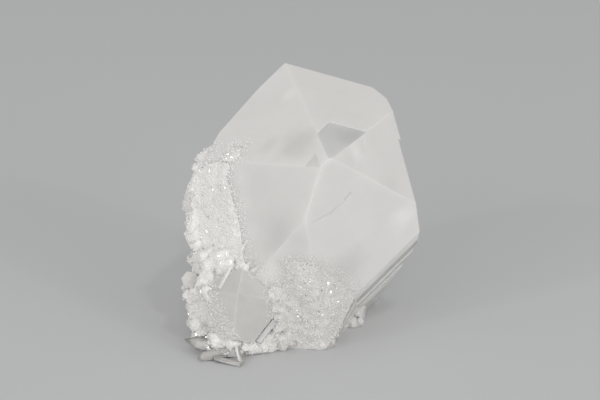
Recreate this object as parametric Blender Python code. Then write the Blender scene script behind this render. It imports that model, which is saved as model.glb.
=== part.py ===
"""A milky quartz specimen: one large six-sided point, a second point grown against it, and a druse crust.

The large point leans up and towards -Y. Its sides are cut off level underneath, and the piece rests there.
Lengths are in millimetres until the finished mesh is scaled to metres. The roof edge, where the large
point's end faces meet, stands over x = 0, y = 0 until the solid is centred on its base.
"""

from math import atan2, cos, pi, radians, sin, tan

import bmesh
import bpy
import numpy as np
from mathutils import Matrix, Vector
from mathutils.bvhtree import BVHTree

MM = 0.001

# Quartz: the slope of the six end faces, measured from the axis to each face's normal.
END_FACE_SLOPE = 51.8

# The large point. Headings are in plan, rises above level, and spin turns face 1 about the axis.
ROOF_HEIGHT = 44.6
MAIN_HEADING = -85.5
MAIN_RISE = 28.2
MAIN_SPIN = 132.8
MAIN_END_STEPS = (0.0, 0.65, 0.87, 0.0, 4.95, 1.08)
MAIN_SIDE_REACH = (23.4, 24.2, 18.6, 21.9, 30.4, 24.4)
MAIN_SIDE_TAPER = (0.0, 0.0, 0.0, 6.0, 3.0, 2.0)
# Extra side faces that take off a corner: angle from face 1, reach.
CORNER_FACES = ((5.0, 22.7), (17.7, 23.05), (-92.0, 23.75))
LEDGE_REACH = 19.2
LEDGE_FOOT = 8.6
LEDGE_INSET = 0.04

# The second point, low on the left.
SECOND_TIP = (-17.8, 1.7, 15.9)
SECOND_HEADING = -92.6
SECOND_RISE = 22.6
SECOND_SPIN = 142.9
SECOND_END_STEPS = (0.0, 2.0, 0.0, 0.0, 2.5, 0.0)
SECOND_SIDE_REACH = (7.5, 5.0, 5.7, 7.9, 9.0, 7.5)
SECOND_LENGTH = 24.0

# Growth marks sunk into an end face: the face's number, then corners as x and z seen from the front and depth.
# A depth below nothing lets the mark run out into the face there.
SUNK_MARKS = (
    (1, ((-1.7, 47.5, 0.3), (0.9, 48.0, 0.3), (2.0, 47.7, 0.3), (8.1, 46.1, 0.3), (9.5, 43.0, 0.3),
         (1.4, 43.4, 0.3), (-1.0, 45.0, 0.3))),
    (3, ((-1.8, 30.9, 0.22), (0.5, 31.8, 0.28), (2.5, 32.3, 0.28), (5.2, 34.5, 0.2), (8.0, 36.0, -0.05),
         (4.0, 24.0, -0.05), (-1.6, 27.0, -0.05))),
    (0, ((-4.6, 42.7, 0.06), (-2.2, 45.0, 0.22), (-1.0, 44.8, 0.22), (-0.6, 43.2, 0.22), (-3.0, 42.2, 0.12))),
)
# A thin growth layer laid on the left end face, a hull of these corners.
LAYER = (
    (-11.1, 5.1, 22.3), (-15.6, 9.4, 20.4), (-18.2, 11.4, 17.2), (-13.2, 6.5, 18.7),
    (-10.4, 6.1, 22.1), (-14.9, 10.4, 20.2), (-17.5, 12.4, 17.0), (-12.5, 7.5, 18.5),
)

# The broken back: points on each break and the way it faces.
BREAKS = (
    ((15.4, 34.0, 10.0), (0.80, 0.60, -0.03)),
    ((0.0, 50.0, 20.0), (0.12, 0.97, 0.20)),
    ((-14.0, 46.0, 18.0), (-0.45, 0.88, -0.12)),
    ((2.0, 47.0, 46.0), (0.05, 0.80, 0.60)),
)
SCOOPS = (
    ((9.0, 56.0, 33.0), 13.0),
    ((-12.0, 57.0, 24.0), 15.0),
    ((17.0, 47.0, 12.0), 13.0),
)

# The shoulder under the lowest end face, a hull of these corners.
SHOULDER = (
    (6.3, 13.9, 11.4), (-0.4, 7.0, 17.4), (1.0, 12.7, 1.0), (-5.0, 12.7, 1.8), (-6.0, 9.5, 10.0),
    (0.7, 14.0, -1.0), (4.2, 25.5, -1.0), (-6.0, 14.0, -1.0), (7.5, 34.0, -1.0), (3.0, 30.0, 8.0),
)
# The pad of fused crust between the second point and the left side, and the foot low on the right.
PAD = (
    (-25.4, 10.4, 13.0), (-24.5, 9.6, 11.1), (-23.7, 8.7, 9.2), (-22.7, 7.7, 7.2), (-21.4, 6.4, 5.0),
    (-26.6, 14.0, 12.4), (-27.0, 13.2, 10.1), (-27.1, 12.4, 7.7), (-26.4, 11.4, 5.2), (-25.0, 10.4, 2.2),
    (-20.5, 7.4, 1.0), (-18.0, 20.0, 0.5), (-20.0, 20.0, 14.0),
    (-26.4, 24.0, 9.0), (-25.4, 36.0, 3.0), (-25.0, 36.0, 0.5), (-22.5, 34.0, 9.0),
)
FOOT = (
    (4.6, 25.2, -0.5), (6.2, 24.4, -0.5), (7.8, 25.6, -0.5), (7.9, 27.6, 0.5), (9.6, 38.0, 0.4),
    (9.2, 38.0, -0.5), (5.4, 25.0, 2.8), (7.9, 27.6, 3.6), (8.6, 30.0, 3.6), (3.0, 32.0, 5.0), (2.0, 29.0, -0.5),
)
FOOT_SLOT = (
    (6.0, 23.6, 2.5), (6.1, 28.0, 2.9), (7.2, 24.2, 1.5), (7.3, 28.0, 1.9), (6.4, 24.2, 1.7), (6.8, 24.4, 2.4),
)

# Crust sheets: how far they stand out from the end faces and from the left side, and where their inner
# edge runs, given as two points and the way it faces.
SHEET_END_STEPS = (-0.05, -0.05, -0.05, -0.05, 0.45, 0.35)
SHEET_SIDE_STEPS = (-0.05, -0.05, -0.05, -0.05, 0.6, 1.1)
SHEET_CORNER_STEPS = (-0.05, 0.5)
LEFT_SHEET_EDGES = (((-21.5, 20.0, 42.6), (-22.9, 37.6, 33.2), (0.35, 0.0, 0.94)),
                    ((-19.6, 18.2, 41.3), (-17.9, 12.9, 27.0), (0.72, -0.45, 0.3)),
                    ((-17.9, 12.9, 27.0), (-15.6, 9.9, 20.3), (0.75, -0.4, 0.35)))
LOW_SHEET_EDGES = (((-10.3, 10.2, 10.4), (-7.4, 5.5, 21.0), (-0.9, 0.1, 0.3)),
                   ((-7.2, 5.3, 21.3), (-0.3, 5.3, 18.3), (0.35, -0.2, 0.9)),
                   ((-0.3, 5.3, 18.3), (6.0, 5.7, 14.4), (0.5, -0.2, 0.8)))

# Crust lumps: rows of centres, lump radius, spacing along the row.
CRUST_ROWS = (
    (((-21.8, 25.6, 39.7), (-25.1, 26.4, 37.8), (-26.5, 25.4, 34.9), (-25.9, 24.6, 32.4)), 1.6, 1.7),
    (((-25.9, 24.9, 30.0), (-26.5, 23.5, 26.2), (-27.4, 22.2, 22.3), (-26.5, 21.3, 19.5)), 2.1, 2.1),
    (((-26.4, 19.6, 17.5), (-25.6, 18.0, 15.8)), 2.1, 2.2),
    (((-26.9, 16.6, 12.0), (-26.9, 15.6, 8.5), (-26.5, 13.9, 5.9), (-25.6, 12.2, 3.8)), 2.2, 2.1),
    (((-24.8, 10.3, 1.5), (-21.5, 7.4, 1.4), (-17.8, 7.8, 1.5), (-14.9, 9.2, 1.5), (-11.6, 11.4, 1.2)), 2.2, 2.1),
    (((-8.5, 13.4, 1.0), (-5.0, 15.6, 1.4), (-2.0, 12.3, 0.9), (-0.7, 12.2, 0.8), (0.3, 13.8, 0.9)), 2.0, 1.9),
    (((-23.6, 12.4, 11.6), (-23.6, 10.5, 8.8), (-23.1, 8.6, 6.4), (-21.0, 6.9, 4.4)), 2.4, 2.6),
    (((-9.3, 9.3, 11.8), (-9.3, 11.0, 7.3), (-11.2, 12.1, 4.2)), 2.4, 2.6),
)
# Flat lumps: rows of points on an end face, the face's number, lump radius, spacing, height over the face.
FLAT_ROWS = (
    (((-21.0, 18.8, 39.0), (-20.6, 18.2, 36.0), (-20.2, 16.8, 31.0), (-19.6, 15.2, 26.2),
      (-18.2, 12.8, 22.0)), 5, 3.0, 2.7, 1.2),
    (((-23.6, 21.5, 37.1), (-23.6, 20.5, 32.0), (-23.2, 19.1, 27.0), (-22.6, 17.4, 22.1),
      (-20.9, 15.0, 19.0)), 5, 3.2, 2.7, 1.6),
    (((-8.5, 6.3, 19.4), (-5.4, 6.0, 18.7), (-1.7, 5.9, 17.4)), 4, 2.8, 2.9, 1.1),
    (((-9.1, 8.2, 14.9), (-5.4, 7.9, 14.1), (-1.7, 7.5, 13.4), (2.0, 8.6, 12.4)), 4, 3.0, 2.9, 1.4),
    (((-8.3, 9.9, 10.3), (-5.0, 9.6, 9.5), (-1.3, 9.3, 8.8), (1.6, 10.3, 7.5)), 4, 3.0, 2.9, 1.5),
    (((-8.7, 11.9, 5.7), (-5.4, 11.4, 5.4), (-2.1, 11.1, 4.6)), 4, 3.0, 2.9, 1.5),
)
LUMP_CORNERS = 10
LUMP_ROUGHNESS = 0.1
ROW_SIZES = (0.9, 1.08)
ROW_SHIFT = 0.25
FLAT_SIZES = (0.9, 1.15)
FLAT_SHIFT = 0.5
# The left side's rows are repeated behind themselves, each row this much further back and in.
BACK_ROWS = 3
BACK_ROW_STEP = (6.0, 1.0)
BACK_SPREAD = 1.35
BACK_SIZES = (0.9, 1.4)
BACK_SHIFT = 0.9

# Small crystals that cover the crust.
DRUSE_COUNT = 150
DRUSE_SPACING = 1.35
DRUSE_WIDTH = (0.8, 1.5)
DRUSE_STAND = (0.25, 0.6)
DRUSE_LEAN = 0.55
DRUSE_ROOT = 0.8
DRUSE_POINT = 0.75
DRUSE_LOWEST = 1.2
# Spots on faces turned forwards are this many times likelier.
DRUSE_FRONT_SHARE = 3.0
FORWARD = 0.2
# A spot this near a face of the big points isn't crust.
ON_FACE = 0.02
TRIES_PER_CRYSTAL = 40
SHORTEST_PRISM = 0.3

# Single crystals in the crust: root, tip, width across the flats, tip length as a share of the width.
SINGLES = (
    ((-22.3, 14.4, 12.3), (-19.3, 12.3, 18.6), 0.9, 0.7),
    ((-27.5, 22.0, 11.6), (-28.1, 15.4, 14.1), 3.2, 0.35),
    ((-23.0, 8.8, 1.6), (-29.2, 10.2, 2.9), 2.4, 1.2),
    ((-20.4, 7.0, 1.2), (-26.3, 5.0, 0.7), 2.0, 0.6),
    ((-22.6, 4.6, 0.8), (-17.1, 1.6, 0.5), 1.05, 0.3),
    ((-18.9, 9.4, 3.6), (-17.2, 2.1, 0.5), 0.95, 0.3),
    ((-16.0, 9.2, 1.5), (-16.3, 6.5, 0.7), 0.8, 0.7),
)

SEED = 7
GOLDEN_ANGLE = 2.399963
CUTTER_STAND = 3.0
BASE_BLOCK = 120.0


def frame_of(heading, rise):
    """Columns across, over and axis of a crystal whose axis points this way."""
    h, r = radians(heading), radians(rise)
    axis = np.array((cos(r) * cos(h), cos(r) * sin(h), sin(r)))
    across = np.array((-sin(h), cos(h), 0.0))
    return np.column_stack((across, np.cross(axis, across), axis))


def around(frame, angle):
    """The direction at this angle round the crystal's axis."""
    return frame[:, 0] * cos(radians(angle)) + frame[:, 1] * sin(radians(angle))


def end_planes(frame, tip, spin, steps):
    """The six slanting end faces as (normal, distance), each moved out from the tip by its step."""
    planes = []
    for number, step in enumerate(steps):
        side = around(frame, spin - 60.0 * number)
        normal = side * sin(radians(END_FACE_SLOPE)) + frame[:, 2] * cos(radians(END_FACE_SLOPE))
        planes.append((normal, float(normal @ tip) + step))
    return planes


def side_plane(frame, tip, angle, reach, taper=0.0, step=0.0):
    """A prism face at this angle, tipped about its rim by its taper so that it widens towards the root."""
    side = around(frame, angle)
    rim_height = step / cos(radians(END_FACE_SLOPE)) - reach * tan(radians(END_FACE_SLOPE))
    rim = tip + side * reach + frame[:, 2] * rim_height
    normal = side * cos(radians(taper)) + frame[:, 2] * sin(radians(taper))
    return normal, float(normal @ rim)


def solid_between(planes):
    """Corners and outward faces of the convex solid inside all the planes."""
    normals = np.array([n / np.linalg.norm(n) for n, _ in planes])
    reach = np.array([d / np.linalg.norm(n) for n, d in planes])
    corners, owners = [], []
    for i in range(len(planes)):
        for j in range(i + 1, len(planes)):
            for k in range(j + 1, len(planes)):
                three = normals[[i, j, k]]
                if abs(np.linalg.det(three)) < 1e-6:
                    continue
                point = np.linalg.solve(three, reach[[i, j, k]])
                if (normals @ point <= reach + 1e-6).all():
                    corners.append(point)
                    owners.append({i, j, k})
    merged, members = [], []
    for point, owner in zip(corners, owners):
        for index, known in enumerate(merged):
            if np.linalg.norm(known - point) < 1e-4:
                members[index] |= owner
                break
        else:
            merged.append(point)
            members.append(set(owner))
    faces = []
    for index, normal in enumerate(normals):
        ring = [v for v, owner in enumerate(members) if index in owner]
        if len(ring) < 3:
            continue
        centre = np.mean([merged[v] for v in ring], axis=0)
        first = merged[ring[0]] - centre
        second = np.cross(normal, first)
        ring.sort(key=lambda v: atan2((merged[v] - centre) @ second, (merged[v] - centre) @ first))
        faces.append(ring)
    return merged, faces


def add_object(name, corners, faces):
    """A mesh object of these corners and faces, with its faces turned outwards."""
    mesh = bpy.data.meshes.new(name)
    work = bmesh.new()
    points = [work.verts.new(Vector(c)) for c in corners]
    for face in faces:
        work.faces.new([points[i] for i in face])
    bmesh.ops.recalc_face_normals(work, faces=work.faces)
    work.to_mesh(mesh)
    work.free()
    obj = bpy.data.objects.new(name, mesh)
    bpy.context.scene.collection.objects.link(obj)
    return obj


def add_hull(name, points):
    """The convex hull of these points as an object."""
    work = bmesh.new()
    for point in points:
        work.verts.new(Vector(point))
    made = bmesh.ops.convex_hull(work, input=work.verts)
    inner = [g for g in made["geom_interior"] if isinstance(g, bmesh.types.BMVert)]
    bmesh.ops.delete(work, geom=inner, context="VERTS")
    bmesh.ops.recalc_face_normals(work, faces=work.faces)
    mesh = bpy.data.meshes.new(name)
    work.to_mesh(mesh)
    work.free()
    obj = bpy.data.objects.new(name, mesh)
    bpy.context.scene.collection.objects.link(obj)
    return obj


def add_little_crystal(name, root, tip, width, point_share, turn):
    """A six-sided prism with a six-sided point, from root to tip."""
    root, tip = np.array(root), np.array(tip)
    length = np.linalg.norm(tip - root)
    axis = (tip - root) / length
    across = np.cross(axis, (0.0, 0.0, 1.0) if abs(axis[2]) < 0.9 else (1.0, 0.0, 0.0))
    across /= np.linalg.norm(across)
    over = np.cross(axis, across)
    radius = width / (2.0 * cos(pi / 6.0))
    shoulder = max(length - point_share * width, SHORTEST_PRISM * length)
    corners = []
    for height in (0.0, shoulder):
        for i in range(6):
            a = turn + i * pi / 3.0
            corners.append(root + axis * height + (across * cos(a) + over * sin(a)) * radius)
    return add_hull(name, corners + [tip])


def combine(target, others, operation):
    """Applies one exact Boolean to the target for each of the others, then removes them."""
    for other in others:
        modifier = target.modifiers.new("combine", "BOOLEAN")
        modifier.operation = operation
        modifier.solver = "EXACT"
        modifier.object = other
        graph = bpy.context.evaluated_depsgraph_get()
        made = bpy.data.meshes.new_from_object(target.evaluated_get(graph))
        target.modifiers.remove(modifier)
        old = target.data
        target.data = made
        bpy.data.meshes.remove(old)
        bpy.data.objects.remove(other)


def along(path, spacing):
    """Evenly spaced points on a path of straight pieces."""
    path = np.array(path, float)
    steps = np.linalg.norm(np.diff(path, axis=0), axis=1)
    total = steps.sum()
    count = max(2, int(round(total / spacing)) + 1)
    found = []
    for distance in np.linspace(0.0, total, count):
        piece = 0
        while piece < len(steps) - 1 and distance > steps[piece]:
            distance -= steps[piece]
            piece += 1
        found.append(path[piece] + (path[piece + 1] - path[piece]) * min(distance / steps[piece], 1.0))
    return found


def add_lump(rng, centre, radius):
    """A rough angular lump: the hull of points scattered evenly round a sphere."""
    points = []
    for i in range(LUMP_CORNERS):
        height = 1.0 - 2.0 * (i + 0.5) / LUMP_CORNERS
        angle = i * GOLDEN_ANGLE + rng.uniform(-0.4, 0.4)
        ring = (1.0 - height * height) ** 0.5
        way = np.array((ring * cos(angle), ring * sin(angle), height))
        points.append(np.array(centre) + way * radius * (1.0 + rng.uniform(-1.0, 1.0) * LUMP_ROUGHNESS))
    return add_hull("lump", points)


def keep_largest(obj):
    """Removes crumbs that a cut has left loose: only the body with the most corners stays."""
    work = bmesh.new()
    work.from_mesh(obj.data)
    waiting = set(work.verts)
    bodies = []
    while waiting:
        reached = [waiting.pop()]
        for corner in reached:
            near = {edge.other_vert(corner) for edge in corner.link_edges} & waiting
            waiting -= near
            reached.extend(near)
        bodies.append(reached)
    largest = max(len(body) for body in bodies)
    for body in bodies:
        if len(body) < largest:
            bmesh.ops.delete(work, geom=body, context="VERTS")
    work.to_mesh(obj.data)
    work.free()


def sink_mark(target, outline, plane):
    """Sinks this outline, given as x and z seen from the front with a depth, into an end face."""
    normal, distance = plane
    corners = []
    for x, z, depth in outline:
        y = (distance - normal[0] * x - normal[2] * z) / normal[1]
        corners.append(np.array((x, y, z)) + normal * CUTTER_STAND)
        corners.append(np.array((x, y, z)) - normal * depth)
    subtract(target, add_hull("mark", corners))


def subtract(target, cutter):
    """Cuts this helper out of the target."""
    cutter.hide_render = True
    cutter.display_type = "WIRE"
    combine(target, [cutter], "DIFFERENCE")


def edge_plane(start, end, facing):
    """The plane through both points that faces as nearly as it can this way."""
    start, run = np.array(start), np.array(end) - np.array(start)
    run /= np.linalg.norm(run)
    normal = np.array(facing) - run * float(run @ np.array(facing))
    normal /= np.linalg.norm(normal)
    return normal, float(normal @ start)


def add_material(obj, name, colour, roughness, metallic):
    material = bpy.data.materials.new(name)
    material.use_nodes = True
    shader = material.node_tree.nodes["Principled BSDF"]
    shader.inputs["Base Color"].default_value = (*colour, 1.0)
    shader.inputs["Roughness"].default_value = roughness
    shader.inputs["Metallic"].default_value = metallic
    material.diffuse_color = (*colour, 1.0)
    obj.data.materials.clear()
    obj.data.materials.append(material)


for leftover in list(bpy.data.objects):
    bpy.data.objects.remove(leftover)

rng = np.random.default_rng(SEED)
roof = np.array((0.0, 0.0, ROOF_HEIGHT))
frame = frame_of(MAIN_HEADING, MAIN_RISE)
ends = end_planes(frame, roof, MAIN_SPIN, MAIN_END_STEPS)
sides = [
    side_plane(frame, roof, MAIN_SPIN - 60.0 * i, MAIN_SIDE_REACH[i], MAIN_SIDE_TAPER[i], MAIN_END_STEPS[i])
    for i in range(6)
]
cut_corners = [side_plane(frame, roof, MAIN_SPIN + turn, reach) for turn, reach in CORNER_FACES]
breaks = [(np.array(way), float(np.array(way) @ np.array(point))) for point, way in BREAKS]
level = (np.array((0.0, 0.0, -1.0)), 0.0)

# The large point, then the slightly wider ledge on its right side.
crystal = add_object("quartz_crystal", *solid_between(ends + sides + cut_corners + breaks + [level]))
ledge_side = side_plane(frame, roof, MAIN_SPIN - 120.0, LEDGE_REACH, 0.0, MAIN_END_STEPS[2])
ledge_foot = (-frame[:, 1], float(-frame[:, 1] @ roof) - LEDGE_FOOT)
within = ends + sides[:2] + sides[3:] + cut_corners + breaks + [level]
ledge_planes = [ledge_side, ledge_foot] + [(n, d - LEDGE_INSET) for n, d in within]
combine(crystal, [add_object("ledge", *solid_between(ledge_planes))], "UNION")

# The scooped breaks at the back, then the growth marks in the end faces.
for centre, radius in SCOOPS:
    subtract(crystal, add_lump(rng, centre, radius))
for face, outline in SUNK_MARKS:
    sink_mark(crystal, outline, ends[face])
combine(crystal, [add_hull("layer", LAYER)], "UNION")

bare = crystal.copy()
bare.data = crystal.data.copy()

# The second point, kept inside the big one's length.
second_frame = frame_of(SECOND_HEADING, SECOND_RISE)
second_tip = np.array(SECOND_TIP)
second_planes = end_planes(second_frame, second_tip, SECOND_SPIN, SECOND_END_STEPS)
second_planes += [
    side_plane(second_frame, second_tip, SECOND_SPIN - 60.0 * i, reach, 0.0, step)
    for i, (reach, step) in enumerate(zip(SECOND_SIDE_REACH, SECOND_END_STEPS))
]
second_planes.append((-second_frame[:, 2], float(-second_frame[:, 2] @ second_tip) + SECOND_LENGTH))
second_planes.append(level)
second = add_object("second", *solid_between(second_planes))
combine(crystal, [second], "UNION")
for name, shape in (("shoulder", SHOULDER), ("pad", PAD), ("foot", FOOT)):
    combine(crystal, [add_hull(name, shape)], "UNION")
subtract(crystal, add_hull("slot", FOOT_SLOT))

# The crust bed: thin sheets over the left side and the lower edge.
sheet_ends = end_planes(frame, roof, MAIN_SPIN, np.add(MAIN_END_STEPS, SHEET_END_STEPS))
sheet_sides = [(n, d + SHEET_SIDE_STEPS[i]) for i, (n, d) in enumerate(sides)]
sheet_limits = [(n, d - LEDGE_INSET) for n, d in breaks + [level]]
sheet_limits += [(n, d + step) for (n, d), step in zip(cut_corners, SHEET_CORNER_STEPS)]
for edges in (LEFT_SHEET_EDGES, LOW_SHEET_EDGES):
    planes = sheet_ends + sheet_sides + sheet_limits + [edge_plane(*edge) for edge in edges]
    combine(crystal, [add_object("sheet", *solid_between(planes))], "UNION")

# Rows of lumps over the sheets, repeated back along the left side.
lumps = []
for path, radius, spacing in CRUST_ROWS:
    for centre in along(path, spacing):
        size = radius * rng.uniform(*ROW_SIZES)
        lumps.append((centre + rng.uniform(-ROW_SHIFT, ROW_SHIFT, 3), size))
for path, radius, spacing in CRUST_ROWS[1:4]:
    for row in range(1, BACK_ROWS + 1):
        for centre in along(path, spacing * BACK_SPREAD):
            back = centre - frame[:, 2] * BACK_ROW_STEP[0] * row + frame[:, 0] * BACK_ROW_STEP[1] * row
            size = radius * rng.uniform(*BACK_SIZES)
            lumps.append((back + rng.uniform(-BACK_SHIFT, BACK_SHIFT, 3), size))
for path, face, radius, spacing, height in FLAT_ROWS:
    for centre in along(path, spacing):
        normal = ends[face][0]
        size = radius * rng.uniform(*FLAT_SIZES)
        shift = rng.uniform(-FLAT_SHIFT, FLAT_SHIFT, 3)
        lumps.append((centre + shift - normal * (size + shift @ normal - height), size))
for centre, radius in lumps:
    combine(crystal, [add_lump(rng, centre, radius)], "UNION")

# Small crystals stand out from the crust, spaced apart, leaning a little from the way the crust faces.
bed = bmesh.new()
bed.from_mesh(crystal.data)
bmesh.ops.triangulate(bed, faces=bed.faces)
tree = BVHTree.FromBMesh(bed)
bare_tree = BVHTree.FromPolygons(
    [v.co for v in bare.data.vertices], [tuple(p.vertices) for p in bare.data.polygons]
)
spots, weights = [], []
for face in bed.faces:
    middle = face.calc_center_median()
    on_bare = bare_tree.find_nearest(middle)[3] < ON_FACE
    on_second = abs(max(float(np.array(middle) @ n) - d for n, d in second_planes)) < ON_FACE
    if on_bare or on_second or middle.z < DRUSE_LOWEST:
        continue
    spots.append([np.array(v.co) for v in face.verts] + [np.array(face.normal)])
    weights.append(face.calc_area() * (DRUSE_FRONT_SHARE if face.normal.y < FORWARD else 1.0))
weights = np.array(weights) / np.sum(weights)
bed.free()
bpy.data.objects.remove(bare)

placed = []
tries = 0
while len(placed) < DRUSE_COUNT and tries < TRIES_PER_CRYSTAL * DRUSE_COUNT:
    tries += 1
    a, b, c, normal = spots[int(rng.choice(len(spots), p=weights))]
    u, v = rng.uniform(size=2)
    if u + v > 1.0:
        u, v = 1.0 - u, 1.0 - v
    point = a + (b - a) * u + (c - a) * v
    if any(np.linalg.norm(point - other) < DRUSE_SPACING for other in placed):
        continue
    placed.append(point)
    way = normal + rng.normal(size=3) * DRUSE_LEAN
    way /= np.linalg.norm(way)
    width = rng.uniform(*DRUSE_WIDTH)
    stand = rng.uniform(*DRUSE_STAND)
    root = point - way * (DRUSE_ROOT + 0.5 * width)
    tip = point + way * stand
    little = add_little_crystal("druse", root, tip, width, DRUSE_POINT, rng.uniform(0.0, pi))
    combine(crystal, [little], "UNION")

for root, tip, width, share in SINGLES:
    combine(crystal, [add_little_crystal("single", root, tip, width, share, rng.uniform(0.0, pi))], "UNION")

# Everything below the level cut goes, with any crumb it leaves, and the piece is centred on its base.
across = (-BASE_BLOCK, BASE_BLOCK)
below = add_object(
    "below",
    [(x, y, z) for z in (-BASE_BLOCK, 0.0) for y in across for x in across],
    [(0, 2, 3, 1), (4, 5, 7, 6), (0, 1, 5, 4), (2, 6, 7, 3), (0, 4, 6, 2), (1, 3, 7, 5)],
)
subtract(crystal, below)
keep_largest(crystal)

corners = np.array([v.co for v in crystal.data.vertices])
middle = (corners.max(axis=0) + corners.min(axis=0)) / 2.0
crystal.data.transform(Matrix.Translation((-middle[0], -middle[1], -corners[:, 2].min())))
crystal.data.transform(Matrix.Scale(MM, 4))
add_material(crystal, "milky_quartz", (0.72, 0.71, 0.69), 0.25, 0.0)
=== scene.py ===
"""A milky quartz specimen dressed for looks: a large six-sided point, a smaller greyer point grown against it,
and the sugary crust of tiny crystals round their foot.

Sizes are in metres, written as millimetres times MM. Each section is one piece of the specimen.
"""

from math import atan2, cos, pi, radians, sin, tan

import bmesh
import bpy
import numpy as np
from mathutils import Matrix, Vector, noise


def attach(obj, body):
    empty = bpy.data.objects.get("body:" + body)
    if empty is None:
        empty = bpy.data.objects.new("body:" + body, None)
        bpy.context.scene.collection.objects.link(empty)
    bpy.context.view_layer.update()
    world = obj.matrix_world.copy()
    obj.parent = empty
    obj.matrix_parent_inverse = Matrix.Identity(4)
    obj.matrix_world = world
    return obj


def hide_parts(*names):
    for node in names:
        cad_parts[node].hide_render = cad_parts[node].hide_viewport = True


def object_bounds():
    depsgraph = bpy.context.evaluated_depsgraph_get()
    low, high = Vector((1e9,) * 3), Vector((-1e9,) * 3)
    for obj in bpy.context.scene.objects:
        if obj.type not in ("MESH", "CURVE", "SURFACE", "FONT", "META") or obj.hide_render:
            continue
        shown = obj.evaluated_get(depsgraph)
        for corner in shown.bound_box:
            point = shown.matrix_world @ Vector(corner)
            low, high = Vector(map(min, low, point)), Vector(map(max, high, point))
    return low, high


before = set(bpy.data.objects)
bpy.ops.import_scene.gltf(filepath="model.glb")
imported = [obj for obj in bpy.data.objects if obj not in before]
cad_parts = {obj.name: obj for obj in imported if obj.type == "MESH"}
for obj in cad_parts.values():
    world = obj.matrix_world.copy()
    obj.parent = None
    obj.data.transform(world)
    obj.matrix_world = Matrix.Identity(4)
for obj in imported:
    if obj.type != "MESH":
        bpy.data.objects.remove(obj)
cad_low, cad_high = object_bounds()
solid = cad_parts["quartz_crystal"]
MM = 0.001


# ---- Camera, floor and light ----
# A floor of pale paper in even light from all round, seen through a long lens a little above the specimen. A
# broad softbox stands at the front on each side, and four small lamps are what the crust's facets catch.

CAMERA_PLACE = (0.0, -662.4 * MM, 243.3 * MM)
CAMERA_DOWN = 18.0
LENS, SENSOR_WIDTH, NEAREST_SEEN = 200.0, 36.0, 0.01
FLOOR_WIDTH = 6.0
FLOOR_COLOUR, FLOOR_ROUGHNESS = (0.66, 0.67, 0.68), 0.7
WORLD_COLOUR = (1.0, 0.99, 0.975)
WORLD_STRENGTH = 0.48
# Each softbox: its name, place, width and power. Then the places of the small lamps.
SOFTBOXES = (("left_softbox", (-0.6, -1.1, 0.35), 0.8, 3.6), ("right_softbox", (0.8, -1.0, 0.15), 0.7, 5.0))
LAMP_PLACES = ((0.25, -0.55, 0.85), (-0.65, -0.65, 0.55), (0.05, -1.1, 0.6), (0.7, -0.75, 0.5))
SPARKLE_LAMP_WIDTH = 0.05
SPARKLE_LAMP_POWER = 0.6


def place_object(name, data):
    """An object made from this data, in the scene."""
    made = bpy.data.objects.new(name, data)
    bpy.context.scene.collection.objects.link(made)
    return made


camera = bpy.data.cameras.new("camera")
camera.lens = LENS
camera.sensor_width = SENSOR_WIDTH
camera.clip_start = NEAREST_SEEN
camera_object = place_object("camera", camera)
camera_object.location = CAMERA_PLACE
camera_object.rotation_euler = (radians(90.0 - CAMERA_DOWN), 0.0, 0.0)
bpy.context.scene.camera = camera_object
specimen_middle = Vector((0.0, 0.0, 0.5 * cad_high[2]))


def add_light(name, place, width, power):
    """A square light of this width at a place, turned to face the middle of the specimen."""
    light = bpy.data.lights.new(name, "AREA")
    light.shape = "SQUARE"
    light.size = width
    light.energy = power
    light_object = place_object(name, light)
    light_object.location = place
    light_object.rotation_euler = (specimen_middle - Vector(place)).to_track_quat("-Z", "Y").to_euler()


for softbox in SOFTBOXES:
    add_light(*softbox)
for lamp_place in LAMP_PLACES:
    add_light("sparkle_lamp", lamp_place, SPARKLE_LAMP_WIDTH, SPARKLE_LAMP_POWER)

world = bpy.data.worlds.new("studio")
world.use_nodes = True
world.node_tree.nodes["Background"].inputs["Color"].default_value = (*WORLD_COLOUR, 1.0)
world.node_tree.nodes["Background"].inputs["Strength"].default_value = WORLD_STRENGTH
bpy.context.scene.world = world
bpy.context.scene.view_settings.view_transform = "Standard"

floor_mesh = bpy.data.meshes.new("floor")
half = 0.5 * FLOOR_WIDTH
floor_corners = [(-half, -half, 0.0), (half, -half, 0.0), (half, half, 0.0), (-half, half, 0.0)]
floor_mesh.from_pydata(floor_corners, [], [(0, 1, 2, 3)])
floor = place_object("floor", floor_mesh)
floor_paint = bpy.data.materials.new("floor_paper")
floor_paint.use_nodes = True
floor_shader = floor_paint.node_tree.nodes["Principled BSDF"]
floor_shader.inputs["Base Color"].default_value = (*FLOOR_COLOUR, 1.0)
floor_shader.inputs["Roughness"].default_value = FLOOR_ROUGHNESS
floor_mesh.materials.append(floor_paint)


# ---- The large point ----
# One big crystal of milky quartz: six prism sides and six slanting end faces that meet in a short roof edge.
# It grew against rock, so its back is broken off, and a narrow ledge of later growth runs down its right side.

QUARTZ_END_SLOPE = 51.8
SIXTH_TURN = 60.0
ROOF_EDGE = Vector((5.17, -25.93, 44.6)) * MM
MAIN_HEADING, MAIN_RISE, MAIN_SPIN = -85.5, 28.2, 132.8
# For each side: how it leans towards the tip, and how thick the crust is that hides it.
MAIN_SIDES = ((0.0, 0.0), (0.0, 0.0), (0.0, 0.0), (6.0, 0.0), (3.0, 0.6 * MM), (2.0, 1.1 * MM))
MAIN_CORNERS = ((5.0, 0.0), (17.7, 0.5 * MM), (-92.0, 0.0))
MAIN_BREAKS = ((0.80, 0.60, -0.03), (0.12, 0.97, 0.20), (-0.45, 0.88, -0.12), (0.05, 0.80, 0.60))
LEDGE_SIDE = 2
LEDGE_FOOT = 8.6 * MM
LEDGE_INSET = 0.04 * MM
SHARPEST_EDGE, EDGE_STEPS = radians(14.0), 3
MAIN_EDGE_WEAR = 0.05 * MM
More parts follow.
